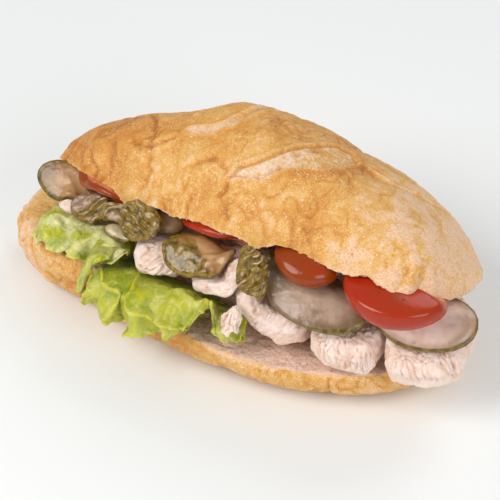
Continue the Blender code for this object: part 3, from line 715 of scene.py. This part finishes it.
def makeChickenMaterial():
    material, tree, shader = newMaterial("cookedChicken")
    t = chickenTones
    places = placesOf(tree)
    tone = mottle(tree, places, 7.0, 1.4, 0.3)
    # the grooves take painted shade: the tone drops and turns deep brown in them
    groove = maskOf(tree, "groove")
    tone = maths(tree, "SUBTRACT", tone, times(tree, groove, 0.24), clamp=True)
    tone = maths(tree, "ADD", tone, maskOf(tree, "smooth", 0.10), clamp=True)
    meat = ramp(tree, tone, (0.22, t["pink"]), (0.40, t["cream"]), (0.56, t["white"]))
    meat = mixed(tree, ramp(tree, groove, (0.55, 0.0), (1.0, 0.8)), meat, t["deep"])
    patches = ramp(tree, noiseAt(tree, places, 4.0, 3.0), (0.36, 0.2), (0.62, 0.9))
    meat = mixed(tree, times(tree, maskOf(tree, "tan"), patches), meat, t["tan"])
    bumped(tree, shader, noiseAt(tree, places, 0.8, 3.0, 0.7), 0.25, 0.8)
    setShader(shader, Base_Color=meat, Roughness=0.48, Subsurface_Weight=0.15, Subsurface_Scale=0.0015,
              Subsurface_Radius=(1.0, 0.55, 0.4), Specular_IOR_Level=0.4)
    return material


chickenMaterial = makeChickenMaterial()

# fibre: the way the strands run; tear: how deep they part; whole: the side that stays unbroken
chickenPieces = {
    "chicken_middle": dict(name="chickenSliceMiddle", fibre=(0.55, 0.3, 0.75), tear=0.5, whole=(-0.6, 0.0)),
    "chicken_right": dict(name="chickenSliceRight", fibre=(-0.25, 0.2, 1.0), tear=1.0),
    "chicken_end": dict(name="chickenSliceEnd", fibre=(-0.35, 0.1, 1.0), tear=0.95),
    "chicken_flat": dict(name="chickenSliceFlat", fibre=(1.0, 0.3, 0.2), tear=0.6, whole=(-1.0, 0.3)),
    "chicken_left": dict(name="chickenSliceLeft", fibre=(0.6, 0.3, 0.5), tear=0.9, whole=(-1.0, 0.2)),
    "chicken_shred": dict(name="chickenShred", fibre=(0.3, -0.1, 1.0), tear=1.0, swell=-0.4),
    "chicken_bit": dict(name="chickenBit", fibre=(1.0, 0.0, 0.2), tear=0.3),
}
chickenCut = {
    "spacing": 0.4,           # between the points of a slice
    "fineSpacing": 0.26,      # and of the small bits
    "rounds": 4,              # of smoothing
    "thread": (1.7, 26.0),    # width and length of the strands
    "cleft": (1.7, 8.0),      # of the gaps that open between them
    "flake": (4.5, 8.0),      # and of the flakes they part into
}


def alongFibre(places, along, across, length):
    # places drawn out along the fibre, so that noise of size 1 makes strands of this width and length
    run = places @ along
    return (places - run[:, None] * along) / across + (run / length)[:, None] * along


def makeChicken(node, name, fibre, tear, whole=(0, 0), swell=0.15):
    small = node in ("chicken_shred", "chicken_bit")
    piece = fittedCopy(node, name, chickenCut["fineSpacing" if small else "spacing"], chickenCut["rounds"])
    places, normals = pointsOf(piece), normalsOf(piece)
    seed = 100 + 7 * list(chickenPieces).index(node)
    middle, half = (places.max(0) + places.min(0)) / 2, (places.max(0) - places.min(0)) / 2
    local = (places - middle) / half
    along = np.array(fibre) / np.linalg.norm(fibre)
    bent = bentBy(places, 8.0, 0.8, seed)
    threads = np.abs(softNoise(alongFibre(bent, along, *chickenCut["thread"]), 1.0, seed + 3))
    threads = np.clip(1 - 4.0 * threads, 0, 1) * step(-0.5, 0.1, softNoise(places, 7.0, seed + 4))
    clefts = step(0.22, 0.5, softNoise(alongFibre(bent, along, *chickenCut["cleft"]), 1.0, seed + 9))
    flakes = 3.0 * layeredNoise(alongFibre(bent, along, *chickenCut["flake"]), 1.0, 2, seed + 15)
    flakes = relaxed(piece, np.floor(flakes) + step(0.75, 1.0, flakes - np.floor(flakes)), 1) / 3
    lumps = layeredNoise(places, 8.0, 3, seed + 5)
    unbroken = np.zeros(len(places))
    if any(whole):
        unbroken = step(0.1, 0.6, local[:, 0] * whole[0] + local[:, 1] * whole[1] + 0.3 * lumps)
    # the lower edge of a slice is its smooth outside
    band = step(0.32, 0.16, (places[:, 2] - places[:, 2].min()) / (2 * half[2]) + 0.07 * lumps)
    rough = (1 - 0.8 * unbroken) * (1 - 0.75 * band)
    push = (0.5 if small else 0.9) * lumps - tear * rough * (0.75 * threads + 0.7 * clefts)
    push += tear * (0.25 + 0.75 * rough) * 0.8 * flakes + 0.1 * rough * softNoise(places, 1.5, seed)
    movePoints(piece, places + (push + swell)[:, None] * normals)
    # painted shade in the grooves between the strands and in the hollows
    sunk = np.clip(1.6 * hollowsOf(piece, 5), -0.2, 0.6)
    groove = relaxed(piece, rough * np.maximum(0.6 * threads, 0.5 * clefts), 2) + 0.9 * sunk
    keepMasks(piece, groove=groove, smooth=np.maximum(unbroken, band),
              tan=0.4 * band + 0.45 * step(0.3, 0.7, lumps))
    return finishPiece(piece, node, chickenMaterial)


faces = sum(makeChicken(node, **values) for node, values in chickenPieces.items())
print("chicken:", faces, "faces")


# pickled gherkin: cloudy flesh inside a thin olive rind, and a few pieces that show their skin
pickleTones = {
    "rind": (0.085, 0.055, 0.006),
    "rindLight": (0.24, 0.155, 0.025),
    "skin": (0.095, 0.052, 0.003),
    "skinLight": (0.31, 0.19, 0.022),
    # ridge is a pale mauve: a painted highlight on a skin's ridge crests, and its paler patches
    "ridge": (0.60, 0.43, 0.31),
}


def makePickleMaterial(name, flesh, cloud, dim):
    material, tree, shader = newMaterial(name)
    t = pickleTones
    places = placesOf(tree)
    cloudy = maskOf(tree, "cloudy")
    tone = mottle(tree, places, 8.0, 2.5, 0.3)
    patchy = maths(tree, "ADD", times(tree, cloudy, 0.30), tone)
    inner = ramp(tree, patchy, (0.42, flesh), (0.74, cloud))
    inner = mixed(tree, maskOf(tree, "dim", 0.85), inner, dim)
    speckled = noiseAt(tree, places, 2.4, 3.0, 0.6)
    rind = ramp(tree, speckled, (0.36, t["rind"]), (0.64, t["rindLight"]))
    skin = ramp(tree, speckled, (0.36, t["skin"]), (0.62, t["skinLight"]))
    # pale mauve on a skin's ridge crests as a painted highlight, and on its broad paler patches
    crest = times(tree, cloudy, ramp(tree, noiseAt(tree, places, 6.0, 2.0), (0.47, 0.0), (0.56, 0.85)))
    skin = mixed(tree, crest, skin, t["ridge"])
    gloss = mixed(tree, maskOf(tree, "skin"), (0.25, 0.25, 0.25), (0.21, 0.21, 0.21))
    colour = mixed(tree, maskOf(tree, "skin"), inner, skin)
    colour = mixed(tree, maskOf(tree, "rind"), colour, rind)
    bumped(tree, shader, noiseAt(tree, places, 2.4, 3.0), 0.35, 0.6)
    setShader(shader, Base_Color=colour, Roughness=gloss, Subsurface_Weight=0.2, Subsurface_Scale=0.002,
              Subsurface_Radius=(0.9, 0.7, 0.4), Specular_IOR_Level=0.55)
    return material


# each look's flesh, its cloudy parts and its dim side
pickleLooks = {
    "mauve": ((0.80, 0.55, 0.45), (0.95, 0.76, 0.67), (0.38, 0.24, 0.15)),
    "grey": ((0.28, 0.165, 0.10), (0.46, 0.315, 0.225), (0.15, 0.09, 0.035)),
    "khaki": ((0.29, 0.125, 0.032), (0.52, 0.29, 0.12), (0.14, 0.07, 0.009)),
    "brown": ((0.24, 0.12, 0.045), (0.38, 0.225, 0.12), (0.12, 0.07, 0.015)),
    "cream": ((0.50, 0.38, 0.20), (0.66, 0.53, 0.33), (0.24, 0.18, 0.05)),
}
pickleMaterials = {look: makePickleMaterial("pickle" + look.capitalize() + "Flesh", *tones)
                   for look, tones in pickleLooks.items()}

# rim: where the rind starts; thick: the side on which it is thicker; dimSide: the side where the
# flesh is darker; skinSide: the side that shows its skin, and from where; ridges: turn and spacing;
# tuck: the end that is pressed down, and how far
allOver = (0.0, 0.0, -1.0)
pickleCut = {
    "spacing": 0.38,
    "rounds": 8,
    "pressedRounds": 160,     # of smoothing on an end that is pressed down
}
picklePieces = {
    "pickle_end": dict(name="pickleSliceEnd", look="khaki", rim=0.96, thick=(-0.6, -0.8, 0.14),
                       dimSide=(-1.0, 0.0)),
    "pickle_thin": dict(name="pickleSliceThin", look="brown", rim=0.985),
    "pickle_pale": dict(name="pickleSlicePale", look="cream", rim=0.95, thick=(0.0, -1.0, 0.08)),
    "pickle_skin": dict(name="pickleSkinCurl", look="grey", skinSide=(0.7, -0.5, -0.15), ridges=(50.0, 4.2)),
    "pickle_dark": dict(name="pickleDarkPiece", look="brown", skinSide=allOver, ridges=(35.0, 3.2)),
    "pickle_shaded": dict(name="pickleSliceShaded", look="brown", rim=0.98),
    "pickle_ridged": dict(name="pickleRidgedPiece", look="brown", skinSide=allOver, ridges=(-25.0, 2.9)),
    "pickle_dim": dict(name="pickleSliceDim", look="brown", rim=0.97),
    "pickle_broad": dict(name="pickleSliceBroad", look="khaki", rim=0.96, skinSide=(-0.8, -0.6, 0.10),
                         tuck=((0.85, 0.5), (-1.0, 0.5, -4.0))),
    "pickle_large": dict(name="pickleSliceLarge", look="grey", rim=0.98, dimSide=(-1.0, 0.35)),
    "pickle_right": dict(name="pickleSliceRight", look="mauve", rim=0.97, thick=(0.4, -0.9, 0.03),
                         dimSide=(1.0, 0.1)),
    "pickle_knob": dict(name="pickleKnob", look="brown", skinSide=allOver, ridges=(42.0, 3.1), swell=-0.9,
                        narrow=0.8),
}


def sliceAxes(places):
    # places in a flat piece's own directions: along +x, up its face, out of its face; and its half sizes
    centred = places - places.mean(0)
    _, _, turn = np.linalg.svd(centred, full_matrices=False)
    out = turn[2] * (1 if turn[2, 2] > 0 else -1)
    along = np.array([1.0, 0.0, 0.0]) - out[0] * out
    along /= np.linalg.norm(along)
    axes = np.stack([along, np.cross(out, along), out])
    local = centred @ axes.T
    local -= (local.max(0) + local.min(0)) / 2
    return local, np.abs(local).max(0), axes


def makePickle(node, name, look, rim=2.0, thick=(0, 0, 0), dimSide=(0, 0), skinSide=(0, 0, 9.0),
               ridges=None, swell=0.0, narrow=1.0, tuck=((0, 0), (0, 0, 0))):
    piece = fittedCopy(node, name, pickleCut["spacing"], pickleCut["rounds"])
    places, normals = pointsOf(piece), normalsOf(piece)
    local, half, axes = sliceAxes(places)
    flat = local[:, :2] / half[:2]
    reach = np.hypot(*flat.T)
    seed = 200 + 5 * list(picklePieces).index(node)
    face = np.abs(normals @ axes[2])
    uneven = layeredNoise(places, 5.0, 2, seed + 7)
    skin = step(-0.12, 0.12, flat @ np.array(skinSide[:2]) - skinSide[2] + 0.25 * uneven)
    thicker = thick[2] * np.clip(flat @ np.array(thick[:2]), 0, 1)
    rind = step(rim - thicker - 0.025, rim - thicker + 0.01, reach + 0.01 * uneven)
    rind = np.maximum(rind, (rim < 2) * step(0.6, 0.3, face) * step(0.6, 0.8, reach)) * (1 - skin)
    cloudy = (1 - reach + 0.7 * uneven) * (1 - skin)
    places = places - (1 - narrow) * (local[:, 0] - half[0])[:, None] * axes[0]
    tucked = step(0.2, 0.9, flat @ np.array(tuck[0]))[:, None]
    if any(tuck[0]):
        places += tucked * (relaxed(piece, places, pickleCut["pressedRounds"]) - places + tuck[1])
    push = swell - face * (1 - skin) * 0.35 * step(0.55, 0.85, reach) * step(1.0, 0.9, reach)
    push += skin * (0.9 * layeredNoise(places, 6.5, 2, seed + 1) + 0.15 * softNoise(places, 2.0, seed + 2))
    push += 0.12 * softNoise(places, 4.0, seed + 3)
    if ridges:
        turn = math.radians(ridges[0])
        way = local[:, 0] * math.sin(turn) - local[:, 1] * math.cos(turn) + 1.6 * uneven
        wave = np.sin(2 * math.pi * way / ridges[1])
        wave *= np.clip(0.55 + 1.2 * softNoise(places, 5.0, seed + 8), 0, 1)
        push += (0.4 + 0.6 * face) * 0.7 * wave
        # on a ridged skin, cloudy marks the ridge crests for a painted highlight, and broad paler patches
        cloudy = np.maximum(step(0.35, 0.75, wave), 0.8 * step(0.2, 0.5, softNoise(places, 9.0, seed + 9)))
    movePoints(piece, places + push[:, None] * normals)
    dimmed = step(0.15, 0.95, flat @ np.array(dimSide) + 0.3 * uneven) + 0.8 * step(0.74, 0.97, reach)
    keepMasks(piece, skin=skin, rind=rind, cloudy=cloudy, dim=dimmed)
    return finishPiece(piece, node, pickleMaterials[look])


faces = sum(makePickle(node, **values) for node, values in picklePieces.items())
print("pickles:", faces, "faces")


# tomato: glossy skin and paler cut faces
tomatoTones = {
    "skin": (0.42, 0.024, 0.003),
    # the orange skin is darker as painted shade, for the tomatoes in the roll's shadow
    "skinOrangeShaded": (0.29, 0.042, 0.001),
    "flesh": (0.62, 0.12, 0.045),
    "fleshPale": (0.74, 0.28, 0.15),
}


def makeTomatoMaterial(name, orange):
    material, tree, shader = newMaterial(name)
    t = tomatoTones
    places = placesOf(tree)
    tone = mottle(tree, places, 14.0, 3.0, 0.25)
    skin = ramp(tree, tone, (0.45 - orange, t["skin"]), (0.80 - orange, t["skinOrangeShaded"]))
    flesh = ramp(tree, noiseAt(tree, places, 2.4, 3.0), (0.36, t["flesh"]), (0.60, t["fleshPale"]))
    colour = mixed(tree, maskOf(tree, "cutFace"), skin, flesh)
    bumped(tree, shader, noiseAt(tree, places, 2.0, 2.0), 0.1, 0.5)
    setShader(shader, Base_Color=colour, Roughness=0.18, Subsurface_Weight=0.12, Subsurface_Scale=0.002,
              Subsurface_Radius=(1.0, 0.25, 0.12), Specular_IOR_Level=0.38)
    return material


tomatoRed = makeTomatoMaterial("ripeTomato", 0.0)
# the orange tomatoes lie in the roll's shadow: their darker skin is painted shade
tomatoOrange = makeTomatoMaterial("orangeTomato", 0.3)
tomatoCut = {
    "spacing": 0.45,
    "sliceRounds": 14,
    "wedgeRounds": 200,
    "plump": 4.0,
}
# tuck: how far the top is pushed in under the rim of the roll
tomatoPieces = {
    "tomato_left": dict(name="tomatoSliceLeft", material=tomatoOrange),
    "tomato_middle": dict(name="tomatoSliceMiddle", material=tomatoRed),
    "tomato_wedge": dict(name="tomatoWedge", material=tomatoOrange, tuck=(0.0, 1.5, -1.5)),
    "tomato_half": dict(name="tomatoHalf", material=tomatoRed, tuck=(0.0, 4.5, -5.0)),
}


def makeTomato(node, name, material, tuck=(0.0, 0.0, 0.0)):
    sliced = "Slice" in name
    rounds = tomatoCut["sliceRounds" if sliced else "wedgeRounds"]
    piece = fittedCopy(node, name, tomatoCut["spacing"], rounds)
    places, normals = pointsOf(piece), normalsOf(piece)
    local, half, axes = sliceAxes(places)
    flat = local[:, :2] / half[:2]
    reach = np.hypot(*flat.T)
    facing = normals @ axes[2]
    seed = 300 + len(name)
    if sliced:
        # a slice shows its cut faces above and below
        cutFace = step(0.7, 0.9, np.abs(facing)) * step(0.99, 0.93, reach)
    else:
        # a wedge is plump towards the front, and its cut face shows only along its upper right edge
        cutFace = step(0.6, 0.85, facing) * step(0.15, 0.4, flat[:, 0]) * step(0.05, 0.25, flat[:, 1])
        plump = step(0.1, 0.9, facing) * np.clip(1 - reach ** 2, 0, 1) * step(0.3, -0.5, flat[:, 1])
        places = places + (tomatoCut["plump"] * plump)[:, None] * axes[2]
        # its top is tucked in under the rim of the roll
        low, high = places[:, 2].min(), places[:, 2].max()
        tucked = step(0.5, 1.0, (places[:, 2] - low) / (high - low))
        places = places + tucked[:, None] * tuck
    push = 0.4 * softNoise(places, 18.0, seed) * (1 - cutFace)
    push += cutFace * 0.2 * layeredNoise(places, 3.5, 2, seed)
    push += 0.0 if sliced else 0.9 * step(0.2, -0.3, flat[:, 1])
    movePoints(piece, places + push[:, None] * normals)
    keepMasks(piece, cutFace=cutFace)
    return finishPiece(piece, node, material)


faces = sum(makeTomato(node, **values) for node, values in tomatoPieces.items())
print("tomato:", faces, "faces")


# lettuce: thin wavy leaves, frilled and brighter at the edge
lettuceTones = {
    # deep is a painted shade for the hollows and the root end
    "deep": (0.10, 0.17, 0.002),
    "mid": (0.25, 0.31, 0.004),
    "light": (0.52, 0.50, 0.018),
    "edge": (0.66, 0.64, 0.075),
    "under": (0.74, 0.72, 0.38),
    "vein": (0.72, 0.72, 0.28),
}


def makeLettuceMaterial():
    material, tree, shader = newMaterial("curlyLettuce")
    t = lettuceTones
    places = placesOf(tree)
    tone = mottle(tree, places, 10.0, 2.0, 0.35)
    leafColour = ramp(tree, tone, (0.36, t["mid"]), (0.58, t["light"]))
    net = addNode(tree, "ShaderNodeTexVoronoi", {"Vector": places}, Scale=240.0, feature="DISTANCE_TO_EDGE")
    netLine = ramp(tree, net.outputs["Distance"], (0.0, 0.5), (0.09, 0.0))
    leafColour = mixed(tree, maskOf(tree, "under", 0.9), leafColour, t["under"])
    leafColour = mixed(tree, maskOf(tree, "vein", 0.45), leafColour, t["vein"])
    leafColour = mixed(tree, netLine, leafColour, t["light"])
    # painted shade in the hollows and towards the root end
    leafColour = mixed(tree, maskOf(tree, "hollow", 0.85), leafColour, t["deep"])
    # the leaf's paler edge, with a painted highlight on its ridges
    leafColour = mixed(tree, maskOf(tree, "edge", 0.85), leafColour, t["edge"])
    swelling = ramp(tree, net.outputs["Distance"], (0.0, 0.0), (0.30, 1.0))
    bumped(tree, shader, maths(tree, "ADD", swelling, noiseAt(tree, places, 1.6, 3.0)), 0.3, 0.7)
    setShader(shader, Base_Color=leafColour, Roughness=0.34, Subsurface_Weight=0.3, Subsurface_Scale=0.002,
              Subsurface_Radius=(0.6, 1.0, 0.15), Specular_IOR_Level=0.38)
    return material


lettuceMaterial = makeLettuceMaterial()
# ruffle: height of the edge's folds; under: share of the pale underside's tone; deep: how much painted shade
# darkens the root end
leafPieces = {
    "lettuce_lower": dict(name="lettuceLowerLeaf", ruffle=2.9, under=0.1, deep=0.75),
    "lettuce_upper": dict(name="lettuceUpperLeaf", ruffle=3.2, under=1.0, deep=0.1, frill=7.5),
    "lettuce_tongue": dict(name="lettuceTongue", ruffle=1.4, under=0.2, deep=0.2),
    "lettuce_small": dict(name="lettuceSmallLeaf", ruffle=1.4, under=0.3, deep=1.0),
}
leafSheet = {
    "thickness": 0.45,
    "solidThickness": 1.0,
    "edgeTurn": 62.0,         # where the solid leaf turns more than this, its sheet ends
}


def keepOneSheet(piece):
    # of the thin solid leaf, only the faces joined to the most upward one stay
    pickOnly(piece)
    sheet = bmesh.new()
    sheet.from_mesh(piece.data)
    sheet.faces.ensure_lookup_table()
    wide = [face for face in sheet.faces if face.calc_area() > 0]
    first = max(wide, key=lambda face: face.calc_area() * max(0.0, face.normal.z))
    kept, waiting = {first}, [first]
    turn = math.radians(leafSheet["edgeTurn"])
    while waiting:
        face = waiting.pop()
        for edge in face.edges:
            for other in edge.link_faces:
                if other not in kept and face.normal.angle(other.normal, 0.0) < turn:
                    kept.add(other)
                    waiting.append(other)
    bmesh.ops.delete(sheet, geom=[face for face in sheet.faces if face not in kept], context="FACES")
    sheet.to_mesh(piece.data)
    sheet.free()
    piece.data.update()


def borderPoints(piece):
    # 1 at the points of the edges that only one face uses
    corners = readRows(piece.data.loops, "edge_index", 1, np.int32).ravel()
    used = np.bincount(corners, minlength=len(piece.data.edges))
    border = np.zeros(len(piece.data.vertices))
    border[edgesOf(piece)[used == 1].ravel()] = 1
    return border


def makeLeaf(node, name, ruffle, under, deep, frill=5.2):
    piece = copyOfNode(node, name)
    keepOneSheet(piece)
    places, normals = pointsOf(piece), normalsOf(piece)
    movePoints(piece, places - normals * leafSheet["solidThickness"] / 2)
    applyModifier(piece, "SUBSURF", levels=3, render_levels=3, boundary_smooth="ALL")
    places, normals = pointsOf(piece), normalsOf(piece)
    border = borderPoints(piece)
    rim = relaxed(piece, border, 2)
    rim = np.clip(rim / max(rim.max(), 1e-6), 0, 1)
    near = relaxed(piece, border, 40)
    near = np.clip(near / np.percentile(near[border > 0], 60), 0, 1)
    low = step(0.15, 0.75, (places[:, 1].max() - places[:, 1]) / np.ptp(places[:, 1]))
    seed = 400 + 9 * list(leafPieces).index(node)
    # broad folds over the whole leaf, tighter ones towards its free edge
    broad = softNoise(places, 10.0, seed)
    curl = softNoise(places, frill, seed + 1) + 2.1 / frill * softNoise(places, 2.3, seed + 4)
    veins = np.clip(1 - 5.0 * np.abs(layeredNoise(places, 7.0, 2, seed + 2)), 0, 1)
    ridge = 1 - 2.5 * np.abs(softNoise(bentBy(places, 8.0, 3.0, seed + 8), 13.0, seed + 9))
    fold = np.clip(ridge, 0, 1) ** 2
    push = ruffle * (0.6 * broad + 0.9 * fold + near ** 1.3 * curl) * (0.3 + 0.7 * low)
    push -= 0.3 * veins * (1 - near)
    places = places + push[:, None] * normals
    # the edge is ragged in its own plane
    outward = places - relaxed(piece, places, 25)
    outward /= np.maximum(np.linalg.norm(outward, axis=1), 0.05)[:, None]
    ragged = 1.4 * softNoise(places, 3.4, seed + 6) + 0.6 * softNoise(places, 1.5, seed + 7)
    places += (near ** 2 * ragged)[:, None] * outward
    movePoints(piece, places)
    # painted shade in the hollows and at the root end
    sunk = hollowsOf(piece, 10)
    hollow = relaxed(piece, step(-0.04, 0.3, sunk + 0.12 * softNoise(places, 6.0, seed + 3)), 1)
    # edge: the paler edge, and a painted highlight on the ridges, where sunk is below zero
    keepMasks(piece, edge=np.maximum(rim ** 1.2, 0.7 * step(0.05, 0.4, -sunk)), vein=veins,
              hollow=(0.8 * hollow + deep * (1 - low)) * (1 - 0.7 * rim),
              under=under * step(-0.25, 0.15, softNoise(places, 11.0, seed + 5) + 0.12))
    applyModifier(piece, "SOLIDIFY", thickness=leafSheet["thickness"] * mm, offset=0.0)
    return finishPiece(piece, node, lettuceMaterial)


faces = sum(makeLeaf(node, **values) for node, values in leafPieces.items())
print("lettuce:", faces, "faces")


# small drops of brine on the slices and the tomatoes
brine = {
    "drops": {"tomatoHalf": 7, "tomatoWedge": 3, "tomatoSliceMiddle": 6, "pickleSliceLarge": 9,
              "pickleSliceRight": 6, "pickleSliceBroad": 6, "pickleSliceEnd": 4, "pickleRidgedPiece": 5},
    "smallest": 0.22,
    "largest": 0.65,
    "flatness": 0.5,
    "clear": 12.0,           # how far above a drop nothing else may lie
    "tries": 400,
    "seed": 17,
}


def makeBrine():
    material, _, shader = newMaterial("brineDrops")
    setShader(shader, Base_Color=(1.0, 1.0, 1.0, 1.0), Roughness=0.05, IOR=1.34, Transmission_Weight=1.0)
    bpy.ops.mesh.primitive_ico_sphere_add(subdivisions=3, radius=1.0, location=(0, 0, 0))
    drop = bpy.context.active_object
    ball = pointsOf(drop) * mm
    corners = np.array([face.vertices[:] for face in drop.data.polygons])
    bpy.data.objects.remove(drop)
    draw = np.random.default_rng(brine["seed"])
    bpy.context.view_layer.update()
    graph = bpy.context.evaluated_depsgraph_get()
    points, faces = [], []
    for name, wanted in brine["drops"].items():
        host = bpy.data.objects[name]
        places, normals = pointsOf(host), normalsOf(host)
        facing = np.flatnonzero(normals @ np.array((0.2, -0.6, 0.77)) > 0.6)
        for chosen in draw.permutation(facing)[:brine["tries"]]:
            if wanted == 0:
                break
            away = Vector(normals[chosen])
            start = Vector(places[chosen] * mm) + away * mm
            if bpy.context.scene.ray_cast(graph, start, away, distance=brine["clear"] * mm)[0]:
                continue
            radius = brine["smallest"] + (brine["largest"] - brine["smallest"]) * draw.random() ** 2
            turn = np.array(away.to_track_quat("Z", "Y").to_matrix())
            shape = ball * radius * (1.0, 0.8 + 0.4 * draw.random(), brine["flatness"])
            faces.append(corners + len(ball) * len(points))
            points.append(shape @ turn.T + places[chosen] + 0.1 * radius * normals[chosen])
            wanted -= 1
    mesh = bpy.data.meshes.new("brineDrops")
    mesh.from_pydata(np.concatenate(points) * mm, [], np.concatenate(faces).tolist())
    mesh.materials.append(material)
    piece = bpy.data.objects.new("brineDrops", mesh)
    bpy.context.scene.collection.objects.link(piece)
    smoothShade(piece)
    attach(piece, "root")
    print("brine:", len(points), "drops")


makeBrine()


studio = {
    "floorSize": 3.0,
    "floorTone": (0.885, 0.905, 0.90),
    "azimuth": 23.0,
    "elevation": 40.0,
    "distance": 0.8,
    "lens": 144.0,
    "aim": (0.00147, -0.00159, 0.0341),
    "sky": (0.97, 0.985, 1.0, 1.0),
    "skyStrength": 0.40,
}
# each lamp's direction, distance, size, power and colour
softboxes = {
    "keyLight": ((-0.64, -0.78, 0.97), 1.1, 0.7, 7.3, (1.0, 0.985, 0.96)),
    "fillLight": ((1.0, -0.60, 0.65), 1.2, 0.7, 4.6, (1.0, 0.98, 0.985)),
    "backLight": ((0.3, 1.0, 1.0), 1.2, 0.8, 3.2, (1.0, 1.0, 1.0)),
}


def makeFloor():
    bpy.ops.mesh.primitive_plane_add(size=studio["floorSize"], location=(0, 0, 0))
    floor = bpy.context.active_object
    floor.name = "floor"
    material, _, shader = newMaterial("paleFloor")
    setShader(shader, Base_Color=(*studio["floorTone"], 1.0), Roughness=0.9, Specular_IOR_Level=0.1)
    floor.data.materials.append(material)


def addSoftbox(name, direction, distance, size, power, colour):
    light = bpy.data.lights.new(name, "AREA")
    light.shape = "DISK"
    light.size = size
    light.energy = power
    light.color = colour
    lamp = bpy.data.objects.new(name, light)
    bpy.context.scene.collection.objects.link(lamp)
    away = Vector(direction).normalized()
    lamp.location = away * distance
    lamp.rotation_euler = away.to_track_quat("Z", "Y").to_euler()


def makeCamera():
    a, e = math.radians(studio["azimuth"]), math.radians(studio["elevation"])
    back = Vector((math.sin(a) * math.cos(e), -math.cos(a) * math.cos(e), math.sin(e)))
    camera = bpy.data.cameras.new("camera")
    camera.lens = studio["lens"]
    camera.sensor_width = 36.0
    holder = bpy.data.objects.new("camera", camera)
    bpy.context.scene.collection.objects.link(holder)
    holder.location = Vector(studio["aim"]) + back * studio["distance"]
    holder.rotation_euler = back.to_track_quat("Z", "Y").to_euler()
    bpy.context.scene.camera = holder


def makeSky():
    world = bpy.data.worlds.new("studio")
    bpy.context.scene.world = world
    world.use_nodes = True
    setShader(world.node_tree.nodes["Background"], Color=studio["sky"], Strength=studio["skyStrength"])


makeFloor()
for name, values in softboxes.items():
    addSoftbox(name, *values)
makeSky()
makeCamera()
bpy.context.scene.view_settings.view_transform = "Standard"
bpy.context.scene.view_settings.exposure = 0.0
print("floor, light and camera are in place")
